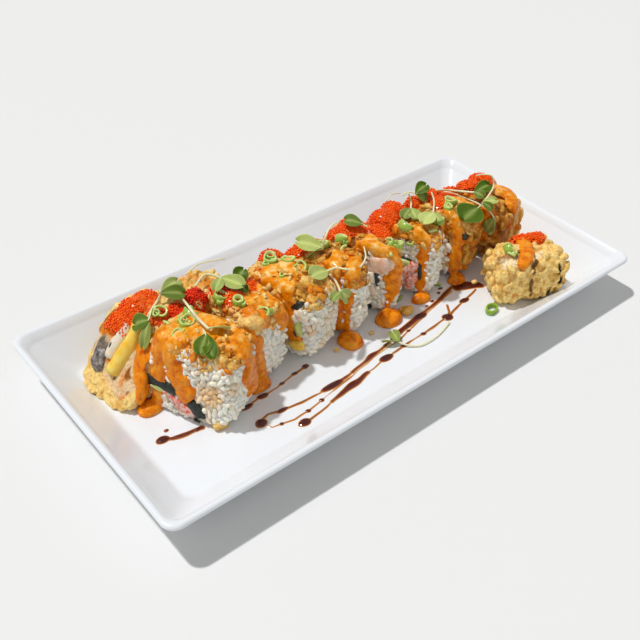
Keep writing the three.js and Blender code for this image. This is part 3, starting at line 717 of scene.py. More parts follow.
def layer(spec, planes, cell, clearance, height):
    """A closed form seen whole from its centre: its surface lies at a height over the plain bar
    and stays clear of the neighbours and the plate."""
    grid, quads = box_grid((spec.thick, spec.wide, spec.high), cell)
    along, across = slice_axes(spec)
    way = unit((grid[:, 0] + spec.slant * grid[:, 2])[:, None] * along
               + grid[:, 1:2] * across + grid[:, 2:3] * UP)
    plain = bar_reach(spec, way)
    far = plain + height(centre(spec) + way * plain[:, None])
    far = np.minimum(far, room_along(spec, way, planes) - clearance)
    return centre(spec) + way * far[:, None], quads


def lift_over(spec, points):
    """How far points lie out of the plain bar."""
    offset = points - centre(spec)
    return np.linalg.norm(offset, axis=1) - bar_reach(spec, unit(offset))


def held(spec, points, planes, most):
    """Points moved back inside the room of a slice: its seams, the plate and its own reach."""
    middle = centre(spec)
    way = unit(points - middle)
    far = np.linalg.norm(points - middle, axis=1)
    limit = np.minimum(bar_reach(spec, way) + most, room_along(spec, way, planes) - 0.1)
    return middle + way * np.minimum(far, limit)[:, None]


def roe_height(spec, points, mounds=ROE_MOUNDS + FLAKES):
    """Height of the mounds over a slice's upper part."""
    best = np.zeros(len(points))
    for x, y, radius, height in mounds:
        best = np.maximum(best, mound(np.hypot(points[:, 0] - x, points[:, 1] - y), radius,
                                      height))
    return np.where(points[:, 2] < spec.z + 0.22 * spec.high, 0, best)


def leaf_gap(points):
    """How far a place is from the nearest sprout leaf's outline, below zero under a leaf."""
    return np.min([run_distance(points, (stem[0], leaf[0])) - 0.5 * leaf[1]
                   for _, stem, leaves in SPROUTS for leaf in leaves], axis=0)


def sauce_height(name, points):
    """Thickness of the sauce over a slice, below zero where there is none."""
    best = np.full(len(points), SAUCE_EDGE)
    swell = 0.84 + 0.28 * noise(points, 6, 81) + 0.22 * noise(points, 2.4, 82)
    for radius, thick, run in SAUCE_RUNS[name]:
        d = run_distance(points, run) / (radius * swell)
        best = np.maximum(best, thick * np.sqrt(np.clip(1 - d * d, 0, 1)) + SAUCE_EDGE * (d > 1))
    return best


# Materials

class Surface:
    """A procedural material: a Principled shader and the nodes that feed it."""

    def __init__(self, name, **sockets):
        self.material = bpy.data.materials.new(name)
        self.material.use_nodes = True
        self.tree = self.material.node_tree
        self.shader = self.tree.nodes["Principled BSDF"]
        for key, value in sockets.items():
            self.put(self.shader, key.replace("_", " "), value)

    def put(self, node, socket, value):
        """A link where the value is another node's output, or else the value itself."""
        if isinstance(value, bpy.types.NodeSocket):
            self.tree.links.new(value, node.inputs[socket])
        else:
            node.inputs[socket].default_value = value

    def node(self, kind, inputs=(), **settings):
        made = self.tree.nodes.new("ShaderNode" + kind)
        for key, value in settings.items():
            setattr(made, key, value)
        for socket, value in dict(inputs).items():
            self.put(made, socket, value)
        return made

    def noise(self, size, detail=3, rough=0.55):
        """Noise whose lumps are about the given size in millimetres."""
        place = self.node("TexCoord").outputs["Object"]
        return self.node("TexNoise", {"Vector": place, "Scale": 1 / (size * MM),
                                      "Detail": detail, "Roughness": rough}).outputs["Fac"]

    def cells(self, size, feature="F1"):
        place = self.node("TexCoord").outputs["Object"]
        return self.node("TexVoronoi", {"Vector": place, "Scale": 1 / (size * MM)},
                         feature=feature).outputs["Distance"]

    def attribute(self, name, output):
        return self.node("Attribute", attribute_name=name).outputs[output]

    def tone(self):
        return self.attribute("tone", "Fac")

    def ramp(self, value, stops):
        made = self.node("ValToRGB", {"Fac": value})
        elements = made.color_ramp.elements
        while len(elements) < len(stops):
            elements.new(0.5)
        for element, (at, colour) in zip(elements, stops):
            element.position = at
            element.color = (*colour, 1)
        return made.outputs["Color"]

    def mix(self, factor, first, second, blend="MIX"):
        made = self.node("Mix", data_type="RGBA", blend_type=blend)
        for socket, value in ((0, factor), (6, first), (7, second)):
            self.put(made, socket, (*value, 1) if isinstance(value, tuple) else value)
        return made.outputs[2]

    def maths(self, operation, first, second):
        return self.node("Math", {0: first, 1: second}, operation=operation).outputs[0]

    def colour(self, value):
        self.put(self.shader, "Base Color", value)

    def coat(self, weight, roughness):
        self.put(self.shader, "Coat Weight", weight)
        self.put(self.shader, "Coat Roughness", roughness)

    def specular(self, level):
        self.put(self.shader, "Specular IOR Level", level)

    def bump(self, height, depth):
        """Fine relief, its depth in millimetres."""
        made = self.node("Bump", {"Height": height, "Distance": depth * MM, "Strength": 1.0})
        self.put(self.shader, "Normal", made.outputs["Normal"])

    def soften(self, weight, radius):
        """Light that enters the food and comes out near by, radius in millimetres."""
        self.put(self.shader, "Subsurface Weight", weight)
        self.put(self.shader, "Subsurface Radius", radius)
        self.put(self.shader, "Subsurface Scale", MM)


def porcelain():
    s = Surface("porcelain", Roughness=0.22, IOR=1.45)
    s.colour(s.mix(s.noise(60, 2), (0.82, 0.85, 0.885), (0.85, 0.88, 0.915)))
    s.coat(0.25, 0.08)
    return s.material


def rice_surface():
    """White grains, browned with soy where the tone is high."""
    s = Surface("rice", Roughness=0.36, IOR=1.38)
    white = s.mix(s.noise(3, 3), (0.96, 0.87, 0.70), (1.0, 0.94, 0.83))
    s.colour(s.mix(s.tone(), white, (0.86, 0.46, 0.13)))
    s.soften(0.45, (1.6, 1.1, 0.7))
    s.coat(0.12, 0.25)
    s.bump(s.noise(0.8, 3), 0.06)
    return s.material


def batter_surface(name, gloss):
    """Batter in the colours painted on its points, darker in fine specks."""
    s = Surface(name, Roughness=0.45, IOR=1.45)
    varied = s.ramp(s.noise(1.4, 4, 0.65), ((0.3, (0.66, 0.50, 0.34)), (0.55, (1, 1, 1))))
    s.colour(s.mix(1.0, s.attribute("paint", "Color"), varied, "MULTIPLY"))
    s.specular(0.2)
    s.soften(0.1, (1.2, 0.6, 0.2))
    s.coat(gloss, 0.12)
    s.bump(s.maths("ADD", s.noise(0.8, 4, 0.6), s.maths("MULTIPLY", s.noise(2.2, 2), 0.8)), 0.24)
    return s.material


def sauce_surface():
    """Orange sauce in patches with a few red specks, paler where the tone is high; the tone rises
    with height, so the tops are painted light and the sides painted shade.
    """
    s = Surface("sauce", Roughness=0.26, IOR=1.42)
    patches = s.noise(3.6, 5, 0.6)
    # The deep ramp gives the painted shade lower down, and the pale ramp the painted light on the
    # tops.
    deep = s.ramp(patches, ((0.32, (0.58, 0.10, 0.0)), (0.50, (0.86, 0.24, 0.001)),
                            (0.72, (0.93, 0.40, 0.02))))
    pale = s.ramp(patches, ((0.34, (0.74, 0.18, 0.0)), (0.50, (0.93, 0.36, 0.006)),
                            (0.68, (1.0, 0.70, 0.28))))
    specks = s.maths("LESS_THAN", s.cells(1.3), 0.13)
    s.colour(s.mix(s.maths("MULTIPLY", specks, 0.5), s.mix(s.tone(), deep, pale),
                   (0.55, 0.08, 0.001)))
    s.specular(0.22)
    s.soften(0.1, (1.6, 0.6, 0.1))
    s.coat(0.2, 0.07)
    s.bump(s.maths("ADD", s.noise(1.8, 3), s.maths("MULTIPLY", specks, 0.3)), 0.35)
    return s.material


def roe_surface(name, light, deep):
    """Shining beads, each between two shades by its tone."""
    s = Surface(name, Roughness=0.2, IOR=1.38)
    s.colour(s.mix(s.tone(), deep, light))
    s.specular(0.35)
    s.soften(0.25, (0.9, 0.2, 0.02))
    s.coat(0.12, 0.08)
    return s.material


def nori_surface():
    s = Surface("nori", Roughness=0.38)
    s.colour(s.mix(s.noise(1.6, 4), (0.006, 0.009, 0.007), (0.03, 0.04, 0.03)))
    s.bump(s.noise(0.7, 4, 0.7), 0.15)
    return s.material


def filling_surface(name, size, *stops):
    """A soft filling, its colours in patches of the given size."""
    s = Surface(name, Roughness=0.35, IOR=1.4)
    pattern = s.noise(size, 3, 0.5)
    s.colour(s.ramp(pattern, stops))
    s.soften(0.4, (1.6, 0.9, 0.6))
    s.bump(pattern, 0.25)
    return s.material


def fish_surface():
    s = Surface("fish_skin", Roughness=0.3)
    s.colour(s.ramp(s.noise(2.2, 4, 0.6), ((0.30, (0.03, 0.03, 0.035)), (0.5, (0.20, 0.17, 0.15)),
                                           (0.72, (0.48, 0.42, 0.38)))))
    s.bump(s.noise(1.2, 3), 0.3)
    return s.material


def leaf_surface():
    """Veined leaf green, paler where the tone is high."""
    s = Surface("leaf", Roughness=0.38, IOR=1.42)
    dark = s.mix(s.noise(3, 3), (0.05, 0.105, 0.003), (0.095, 0.17, 0.006))
    pale = s.mix(s.noise(3, 3), (0.54, 0.66, 0.13), (0.78, 0.82, 0.34))
    s.specular(0.15)
    s.colour(s.mix(s.tone(), dark, pale))
    s.soften(0.1, (0.5, 0.8, 0.2))
    s.bump(s.cells(1.1, "DISTANCE_TO_EDGE"), 0.10)
    return s.material


def stem_surface():
    s = Surface("stem", Roughness=0.35, IOR=1.4)
    s.colour(s.ramp(s.noise(6, 2), ((0.3, (0.78, 0.76, 0.42)), (0.7, (0.90, 0.86, 0.62)))))
    s.soften(0.5, (1.0, 1.0, 0.5))
    return s.material


def scallion_surface():
    s = Surface("scallion", Roughness=0.28, IOR=1.4)
    green = s.mix(s.noise(2.5, 2), (0.13, 0.30, 0.006), (0.42, 0.60, 0.03))
    s.colour(s.mix(s.tone(), green, (0.80, 0.86, 0.36)))
    s.soften(0.4, (0.8, 1.0, 0.4))
    s.coat(0.4, 0.1)
    s.bump(s.noise(0.8, 2), 0.08)
    return s.material


def glaze_surface():
    """Syrup: amber where the tone, its thickness, is low, and nearly black where it is high."""
    s = Surface("glaze", Roughness=0.08, IOR=1.45)
    s.colour(s.ramp(s.tone(), ((0.05, (0.74, 0.47, 0.21)), (0.24, (0.44, 0.15, 0.03)),
                               (0.50, (0.14, 0.014, 0.003)), (1.0, (0.06, 0.005, 0.002)))))
    s.coat(0.5, 0.03)
    s.bump(s.noise(3, 2), 0.05)
    return s.material


PORCELAIN = porcelain()
RICE = rice_surface()
BATTER = batter_surface("batter", 0.05)
GLAZED_BATTER = batter_surface("glazed_batter", 0.2)
SAUCE = sauce_surface()
ROE = roe_surface("roe", (0.98, 0.17, 0.003), (0.88, 0.07, 0.002))
RED_ROE = roe_surface("red_roe", (0.90, 0.05, 0.003), (0.66, 0.014, 0.002))
NORI = nori_surface()
CRAB = filling_surface("crab", 1.6, (0.38, (0.86, 0.62, 0.52)), (0.52, (0.84, 0.36, 0.27)),
                       (0.66, (0.74, 0.10, 0.06)))
AVOCADO = filling_surface("avocado", 5, (0.3, (0.44, 0.55, 0.12)), (0.7, (0.66, 0.68, 0.28)))
EGG = filling_surface("egg", 4, (0.3, (0.92, 0.52, 0.025)), (0.7, (0.99, 0.76, 0.18)))
CREAM = filling_surface("cream", 4, (0.3, (0.80, 0.68, 0.50)), (0.7, (0.92, 0.84, 0.70)))
PRAWN = filling_surface("prawn", 3.2, (0.32, (0.88, 0.74, 0.62)), (0.55, (0.86, 0.55, 0.38)),
                        (0.75, (0.80, 0.34, 0.16)))
FISH = fish_surface()
LEAF = leaf_surface()
STEM = stem_surface()
SCALLION = scallion_surface()
GLAZE = glaze_surface()


# Plate

CORNER_STEPS = 16
LIP_STEPS = 12
RING_POINTS = 4 * (CORNER_STEPS + 1)


def plate_ring(inset, z):
    """A rounded oblong some way in from the plate's edge."""
    radius = RIM_CORNER + (WELL_CORNER - RIM_CORNER) * min(inset / WELL_INSET, 1)
    cx, cy = PLATE_LENGTH / 2 - inset - radius, PLATE_WIDTH / 2 - inset - radius
    ring = []
    for corner, (sx, sy) in enumerate(((1, 1), (-1, 1), (-1, -1), (1, -1))):
        for i in range(CORNER_STEPS + 1):
            angle = (corner + i / CORNER_STEPS) * math.pi / 2
            ring.append((sx * cx + radius * math.cos(angle), sy * cy + radius * math.sin(angle),
                         z))
    return ring


def plate_profile():
    """The plate's section from the middle of its underside, over the lip, to the well."""
    inner = FOOT_INSET + FOOT_WIDTH
    profile = [(inner + 12, FOOT_DEPTH), (inner + FOOT_DEPTH, FOOT_DEPTH), (inner, 0.3),
               (inner - 0.6, 0), (FOOT_INSET + 1.2, 0), (FOOT_INSET + 0.4, 0.15),
               (FOOT_INSET, 0.6), (UNDERSIDE_INSET, UNDERSIDE_HEIGHT)]
    low = PLATE_HEIGHT - 2 * LIP_ROUND
    for share in (0.25, 0.5, 0.75, 1):
        profile.append((UNDERSIDE_INSET + share * (LIP_ROUND + 0.6 - UNDERSIDE_INSET),
                        UNDERSIDE_HEIGHT + share * (low - 0.6 - UNDERSIDE_HEIGHT)))
    for i in range(LIP_STEPS + 1):
        angle = -math.pi / 2 + i / LIP_STEPS * math.pi
        profile.append((LIP_ROUND * (1 - math.cos(angle)),
                        PLATE_HEIGHT - LIP_ROUND + LIP_ROUND * math.sin(angle)))
    profile.append((WALL_TOP_INSET, PLATE_HEIGHT - LIP_FALL))
    for inset in range(5, WELL_INSET + 2):
        profile.append((inset, float(well_height(inset))))
    return profile + [(WELL_INSET + 6, WELL_FLOOR), (WELL_INSET + 20, WELL_FLOOR)]


def make_plate():
    profile = plate_profile()
    points = [p for stop in profile for p in plate_ring(*stop)]
    faces = ring_faces(len(profile), RING_POINTS)
    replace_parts(make("plate_body", points, faces, PORCELAIN, "porcelain"), "plate")


make_plate()

# Rice and batter

# Fried batter's colours, from pale to dark
FRIED = np.array([(1.0, 0.74, 0.27), (0.80, 0.42, 0.055), (0.36, 0.12, 0.012),
                  (0.11, 0.032, 0.005)])
BROWN, DARK = FRIED[2:]
# Colours of sauce stains, of the smooth crest, under the roe, of slits, skin and filling
ORANGE = np.array([0.86, 0.25, 0.005])
CREAMY = np.array([0.96, 0.80, 0.50])
UNDER_ROE = np.array([0.90, 0.13, 0.004])
BLACK = np.array([0.010, 0.012, 0.010])
GREY = np.array([0.20, 0.165, 0.13])
FILLED = np.array([0.84, 0.62, 0.36])

# How far the bare rice lies below the slice's nominal surface, for the layers on it
RICE_SINK = 1.1
# About the area of a slice's surface, over which its strands are spread
COAT_AREA = 11000
# How far strands keep off a bare line
BARE_HALF = 3.6

# Slices whose sides are fried batter: how brown it is, and how much sauce stains it
FRIED_SIDES = {"slice_01": (0.3, 0.1), "slice_08": (1.3, 0.75), "slice_09": (1.4, 0.75),
               "slice_10": (0.0, 0.1)}

# The smooth pale crest of slice_10 and its browned rim, along, across and up; the dark crack
# down its front; and the slits on its cut face, across and up
CREST = [placed(SLICES["slice_10"], *at) for at in ((6, -17, 12), (7, -9, 13.5), (4, 2, 13.5))]
CREST_RIM = [placed(SLICES["slice_10"], *at) for at in ((2, -18, 13), (3, -9, 14), (0, 2, 14))]
CRACK = ((96, -44, 34), (94, -47, 33), (89, -50, 26), (91, -50, 12))
SLITS = (((14, 4), (11.5, 12)), ((15.2, -5), (15.4, 1)), ((9, -9), (10, -5)))

# Strands of fried batter on a slice: their number, how deep the food lies under them, their
# half length, their half thickness, the seed, and a line that they keep off
COATS = {
    "slice_08": dict(count=260, sink=2.9, long=3.6, thick=1.9, seed=5),
    "slice_09": dict(count=260, sink=2.9, long=3.6, thick=1.9, seed=5),
    "slice_10": dict(count=330, sink=2.3, long=3.5, thick=2.1, seed=6, bare=CREST),
}

# A round knob of fried batter on top of slice_03: its middle, its half sizes and its lumps
KNOB_MIDDLE = np.array([-62, -6, 41.5])
KNOB_SIZE = np.array([9.5, 8.5, 6])
KNOB_LUMPS = 46

# Rice grains: places tried on each slice, their distance, and the height where they begin
GRAIN_TRIES = 9000
GRAIN_SPACING = 2.15
GRAINS_FROM = 7.4


def blend(first, second, share):
    """Colours between the first (share 0) and the second (share 1)."""
    return first + (second - first) * np.clip(share, 0, 1)[:, None]


def fried(points, lift, brown, stain, seed=0):
    """Fried batter's colours: browner by patches, darker in the hollows as painted shade, and
    stained with sauce.
    """
    t = brown + 0.55 * noise(points, 6, seed + 1) + 0.35 * noise(points, 2.2, seed + 2)
    # Points that lie low, where lift is small, turn darker: painted shade in the hollows.
    t = np.clip(t + 0.7 * (0.45 - lift), 0, 2.999)
    low = np.floor(t).astype(int)
    colour = FRIED[low] + (FRIED[low + 1] - FRIED[low]) * (t - low)[:, None]
    return blend(colour, ORANGE, stain * smooth_step(noise(points, 5, seed + 3), 0.0, 0.5))


def under_roe(paint, spec, points):
    """Colours turned to those of roe where mounds of it lie."""
    return blend(paint, UNDER_ROE, smooth_step(roe_height(spec, points), 0.1, 0.6))


def lumpy_batter(spec, points):
    """Height of smooth lumpy batter, flatter on the cut face."""
    bent = shaken(points, 2.2, 6, 41)
    big, _ = bubbles(bent, 6.0, 5)
    small, _ = bubbles(bent, 2.8, 9)
    lumps = 3.0 * big ** 0.7 + 1.3 * small + 0.8 * noise(points, 9, 2) - 2.6
    cut = 0.5 * noise(points, 3, 14) - 0.8
    place = local(spec, points)
    flat = 0.85 * smooth_step(place[:, 0], 6, 9) * smooth_step(place[:, 2], -12, -8)
    return lumps + (cut - lumps) * flat + 0.6 * roe_height(spec, points)


def nuggets(spec, planes, count, sink, long, thick, seed, bare=None):
    """A slice in a coat of short fried strands, with none along a bare line: points, faces and
    how far each point lies out."""
    base, quads = layer(spec, planes, cell=1.2, clearance=0.6, height=lambda p: (
        0.7 * noise(p, 8, seed) - sink + 0.6 * roe_height(spec, p)))
    spots, outward = surface_points(base, quads, count * 6)
    keep = thinned(spots, spacing=0.62 * math.sqrt(COAT_AREA / count))[:count]
    if bare:
        keep = keep[run_distance(spots[keep], bare) > BARE_HALF]
    spots, outward = spots[keep], outward[keep]
    lift = 0.75 * rng.random(len(spots)) * thick
    leaning = UP + 0.75 * rng.normal(size=outward.shape)
    along = unit(leaning - outward * np.sum(leaning * outward, axis=1)[:, None])
    sizes = random_sizes(len(spots), (0.55 * long, 0.6 * long), (0.75 * thick, 0.5 * thick),
                         (0.75 * thick, 0.5 * thick))
    strands = scattered(ball(sides=8, levels=7, bend=0.25), spots + outward * lift[:, None],
                        axes_from(along, outward), sizes, np.zeros(len(spots)))
    points, faces = remeshed([(base, quads, 0.0), strands], voxel=0.55, rounds=2)
    points = held(spec, points, planes, most=1.9 + roe_height(spec, points))
    return points, faces, smooth_step(lift_over(spec, points), -0.8 * sink, 0.9)


def near_line(points, line, wobble, far, close):
    """1 within the close distance of a line and 0 beyond the far one, uneven by the wobble."""
    return smooth_step(-run_distance(points, line) - wobble, -far, -close)


def with_cut_face(paint, spec, points):
    """The batter of slice_01 with its cut face: a browned rim round stained filling, and a grey
    piece of skin."""
    along, across, up = local(spec, points).T
    face = smooth_step(along, 5.5, 8) * smooth_step(up * 0.75 + 0.3 * across, -9, -6)
    stained = noise(points, 6, 12) + 0.9 * smooth_step(up, 2, 9)
    inner = blend(np.broadcast_to(FILLED, paint.shape), ORANGE, smooth_step(stained, 0.25, 0.55))
    inner = blend(inner, BROWN, smooth_step(noise(points, 2.5, 13), 0.35, 0.7))
    edge = np.hypot((across + 0.5) / 18, (up - 2) / 19)
    rim = np.exp(-((edge - 0.95 + 0.02 * noise(points, 4, 15)) / 0.03) ** 2)
    paint = blend(paint, inner, face * (edge < 0.96))
    paint = blend(paint, BROWN * 0.5, 0.95 * face * rim * (across < 2))
    skin = np.hypot(across + 11, (up + 2) / 1.6) + 1.2 * noise(points, 3, 18)
    return blend(paint, GREY * (1 + 0.6 * noise(points, 2, 19))[:, None],
                 face * smooth_step(-skin, -5, -3.4))


def with_crest(paint, spec, points):
    """The batter of slice_10 with its pale crest, the rim of it, the crack and the slits."""
    paint = blend(paint, CREAMY, near_line(points, CREST, 0, 4.6, 3.2))
    paint = blend(paint, BROWN, 0.85 * near_line(points, CREST_RIM, noise(points, 3, 20), 2.6, 1))
    paint = blend(paint, DARK, 0.9 * near_line(points, CRACK, 0.7 * noise(points, 2.5, 16),
                                               1.6, 0.9))
    for slit in SLITS:
        paint = blend(paint, BLACK, near_line(points, on_face(spec, 0, slit),
                                              0.9 * noise(points, 2, 17), 1.3, 0.5))
    return paint


def fried_slice(name, spec, planes):
    """A slice in fried batter: its piece, and its points and faces."""
    if name in COATS:
        points, faces, lift = nuggets(spec, planes, **COATS[name])
    else:
        points, faces = layer(spec, planes, cell=0.7, clearance=0.1,
                              height=lambda p: lumpy_batter(spec, p))
        lift = smooth_step(lift_over(spec, points), -1.8, 0.8)
    brown, stain = FRIED_SIDES[name]
    if name == "slice_09":
        brown = brown - 1.1 * smooth_step(points[:, 0], 104, 116)
    # Each point's lift sets the painted shade in the batter's hollows.
    paint = under_roe(fried(points, lift, brown, stain), spec, points)
    if name == "slice_01":
        paint = with_cut_face(paint, spec, points)
    if name == "slice_10":
        paint = with_crest(paint, spec, points)
    surface = GLAZED_BATTER if name == "slice_09" else BATTER
    return make(name + "_batter", points, faces, surface, "batter", paint=paint), (points, faces)


def rice_slice(name, spec, planes):
    """A slice of bare rice under its roe, sauce, grains and crumbs: its piece, and its points
    and faces."""
    form = layer(spec, planes, cell=1.0, clearance=0.2, height=lambda p: (
        0.7 * roe_height(spec, p) + 0.35 * noise(p, 5, 3) - RICE_SINK))
    tones = 0.06 + 0.2 * smooth_step(noise(form[0], 6, 4), 0.1, 0.6)
    return make(name + "_rice", *form, RICE, "rice", tones), form


def make_slices():
    """Every slice, and the points and faces of each by name."""
    forms = {}
    for name, spec in SLICES.items():
        make_slice = fried_slice if name in FRIED_SIDES else rice_slice
        body, forms[name] = make_slice(name, spec, corner_planes(name))
        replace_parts(body, name)
    return forms


def make_back_chunk():
    """The fried chunk behind slice_02 and slice_03."""
    points, faces, lift = nuggets(BACK_CHUNK, seam_planes("slice_03"), count=170, sink=2.0,
                                  long=3.4, thick=1.9, seed=7)
    # The lift darkens the hollows between the strands: painted shade.
    paint = fried(points, lift, brown=0.4, stain=0.8, seed=9)
    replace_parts(make("back_chunk", points, faces, BATTER, "batter", paint=paint), "slice_03")


def make_knob():
    """Lumps at chance places in a rounded form, grown together."""
    lump, lump_faces = ball(sides=9, levels=8)
    parts = []
    for _ in range(KNOB_LUMPS):
        way = unit(rng.normal(size=3))
        at = KNOB_MIDDLE + way * KNOB_SIZE * (0.55 + 0.2 * rng.random())
        parts.append((at + lump * (2.0 + 1.3 * rng.random()), lump_faces, 0.0))
    points, faces = remeshed(parts, voxel=0.5, rounds=2)
    # Points deep among the lumps count as hollows and are painted darker as shade.
    lift = smooth_step(np.linalg.norm((points - KNOB_MIDDLE) / KNOB_SIZE, axis=1), 0.75, 1.0)
    make("batter_knob", points, faces, GLAZED_BATTER, "batter",
         paint=fried(points, lift, brown=0.45, stain=1.0, seed=11))


def grain_places(name, points, outward):
    """Where single grains show on a slice: not under sauce or crumbs, and not on the half of
    each cut face that fillings or the neighbour cover."""
    spec = SLICES[name]
    _, across, up = local(spec, points).T
    facing = outward @ slice_axes(spec)[0]
    left_from, right_from = (-30, 7) if name == "slice_02" else (2, FAR)
    shown_face = np.where(facing > 0.7, across > left_from,
                          np.where(facing < -0.85, (across < -2) | (across > right_from), True))
    wanted = shown_face & (up < 15 + 2 * noise(points, 6)) & (points[:, 2] > GRAINS_FROM)
    wanted &= sauce_height(name, points) < SAUCE_COVERS
    if name == "slice_08":
        wanted &= (facing > 0.7) & (across < 8 + 2 * noise(points, 5)) & (up < 4)
    return wanted


def make_grains(forms):
    """Rice grains over the slices' forms, browned by patches."""
    grain = ball(sides=6, levels=5, bend=0.2)
    parts = []
    for name in RICE_SLICES:
        spots, outward = surface_points(*forms[name], GRAIN_TRIES)
        wanted = grain_places(name, spots, outward)
        spots, outward = spots[wanted], outward[wanted]
        keep = thinned(spots, GRAIN_SPACING)
        spots, outward = spots[keep], outward[keep]
        lift = 0.6 * rng.random(len(spots)) - 0.1
        axes = stood(unit(outward + 0.4 * rng.normal(size=outward.shape)))
        sizes = random_sizes(len(spots), (2.6, 0.8), (1.4, 0.35), (1.2, 0.3))
        tint = 0.55 * smooth_step(noise(spots, 7, 21), 0.15, 0.6) * rng.random(len(spots))
        if name == "slice_02":
            _, across, up = local(SLICES[name], spots).T
            stain = smooth_step(-np.hypot(across - 11, up + 1), -8.5, -4)
            tint = np.maximum(tint, stain * (0.55 + 0.3 * rng.random(len(spots))))
        parts.append(scattered(grain, spots + outward * lift[:, None], axes, sizes, tint))
    make_joined("rice_grains", parts, RICE, "rice")


slice_forms = make_slices()
make_back_chunk()
make_knob()
make_grains(slice_forms)

# Fillings on the cut faces

# How square a block is: 2 would be a ball
BLOCKINESS = 3.2


def chunk(number, out, b, c, size, turn, seed, rough=0.18):
    """An uneven block on a slice's cut face: how far out it sits, its place across and up, its
    size and its turn in degrees."""
    spec = SLICES["slice_%02d" % number]
    points, faces = ball(sides=16, levels=14)
    reach = np.sum(np.abs(points) ** BLOCKINESS, axis=1) ** (1 / BLOCKINESS)
    blocky = points / reach[:, None]
    blocky *= (1 + rough * noise(points * 10 + seed * 17, 7, seed)
               + 0.5 * rough * noise(points * 10 + seed * 29, 3.2, seed + 1))[:, None]
    blocky = blocky * np.array(size) / 2
    angle = math.radians(turn)
    along, across = slice_axes(spec)
    rising = unit(spec.slant * along + UP)
    right = across * math.cos(angle) + rising * math.sin(angle)
    up = rising * math.cos(angle) - across * math.sin(angle)
    axes = np.stack([right, up, np.cross(right, up)])
    return on_face(spec, out, ((b, c),))[0] + blocky @ axes, faces, 0.5


def strip(number, out, path, radius):
    """A soft strand along a line of places across and up on a slice's cut face."""
    line = on_face(SLICES["slice_%02d" % number], out, path)
    points, faces = tube(line, radius, sides=10, smooth=5)
    return shaken(points, min(0.35 * radius, 0.5), 2.6, 51), faces, 0.5


def make_fillings():
    make_joined("nori_strips", [
        chunk(2, 0.2, -15, -3.0, (13, 6.5, 3), -8, 61, 0.35),
        chunk(2, 0.4, -8.5, -3.6, (6, 4.5, 3), -30, 62, 0.35),
        chunk(2, 0.4, 4.4, -10.2, (5, 8.5, 3), 30, 63, 0.3),
        strip(2, 0.4, ((-2, -7), (2.5, -8), (6.4, -9.7), (8.6, -14.5)), 1.2),
        strip(2, 0.6, ((4, -16.8), (7, -17)), 0.8),
        chunk(3, 0.4, 17, 0, (4, 7, 3), 20, 64, 0.3),
        chunk(4, 0.2, 13.2, 13.6, (3.4, 8, 3), -38, 65, 0.3),
        strip(4, 0.4, ((12, -2), (14.5, -6)), 1.4),
        chunk(6, 0.2, 10.4, 3.6, (2.6, 10, 3), 8, 66, 0.25),
        strip(6, 0.2, ((3, -8), (5, -14), (8, -18)), 1.3),
        strip(7, 0.6, ((0, 3.4), (5, 3.2), (8.5, 2.5), (12.2, 1.2)), 0.6),
        chunk(7, -0.2, 13.4, -2.6, (2.4, 11, 3), 6, 67, 0.4),
        # This nori block, sunk deep in slice_08's side, is a dark patch standing for the soft
        # shadow there: painted shade.
        chunk(8, -1.1, 15.6, 11.4, (3, 9, 3), 18, 68, 0.4),
        chunk(1, 0.2, -5.6, 3.6, (2.0, 4.5, 3), -14, 70, 0.3),
    ], NORI, "nori")
    make_joined("crab_pieces", [
        chunk(2, 0.5, -6.5, -9.0, (10, 4.2, 3), -30, 3),
        chunk(2, 0.6, 0.2, -12.4, (10, 5, 3), -22, 4),
        chunk(2, 0.4, -11, -6.6, (7, 3.0, 3), -30, 5),
        chunk(2, 0.3, -3.6, -12.4, (8, 3.4, 3), -30, 51),
        chunk(7, 1.0, 8.4, -1.6, (9, 5.4, 4), 62, 6),
        chunk(7, 1.2, 4.6, -6.6, (11, 5.4, 4), 55, 7),
        chunk(7, 1.0, 9.4, -8.0, (9, 5.4, 4), 66, 8),
        chunk(7, 0.8, 3.6, -12.6, (9, 5.4, 4), 60, 9),
        chunk(7, 0.6, 0.2, -5, (9, 5, 4), 50, 10),
        chunk(7, 0.8, 8.0, -13, (7, 4.6, 4), 70, 52),
    ], CRAB, "filling")
    make_joined("pale_pieces", [
        strip(1, -1.2, ((-5.4, -1), (-4.0, 6), (-2.2, 11), (-1.8, 14)), 3.2),
        chunk(4, 1.0, 16.2, 9.4, (6, 7, 4), 20, 15, 0.35),
        chunk(4, 0.9, 13.2, 6.4, (4, 5, 3), -10, 16, 0.3),
        chunk(6, 0.8, 6.9, 2.6, (5, 7.5, 4), 5, 17, 0.1),
        chunk(6, 0.6, 7.4, -5.5, (7, 7, 4), 20, 18, 0.3),
        chunk(6, 0.2, 3.4, -4.4, (6, 7, 3), -20, 19, 0.3),
        chunk(6, 0.2, 4.4, -11, (7, 6, 3), 10, 53, 0.3),
    ], CREAM, "filling")
    make_joined("shrimp_pieces", [chunk(6, 0.2, 11.6, 11.6, (14, 9, 3), 24, 20, 0.25)],
                PRAWN, "filling")
    make_joined("egg_pieces", [
        strip(1, -1.5, ((-0.6, -6), (1.2, 2), (3.4, 9), (3.8, 17)), 4.3),
        chunk(6, 1.0, 2.2, 2.0, (4.4, 7.6, 4), -3, 25, 0.1),
        chunk(4, 0.6, 13.6, -10.4, (9, 5.5, 4), 10, 26, 0.3),
    ], EGG, "filling")
    make_joined("green_pieces", [
        chunk(4, 0.8, 14.6, 0.8, (3.8, 10, 3), 14, 31),
        chunk(7, 0.8, 4.2, 0.4, (9.5, 4, 3), -4, 32),
        chunk(7, 0.7, 9.8, 0.2, (5, 3.4, 3), -12, 33),
        chunk(2, 0.5, -15, -5.6, (9, 2.2, 3), -6, 56, 0.3),
    ], AVOCADO, "filling")
    make_joined("fish_pieces", [chunk(1, -0.6, -10.6, -4.4, (7, 11, 3), 18, 35, 0.35)],
                FISH, "filling")


make_fillings()

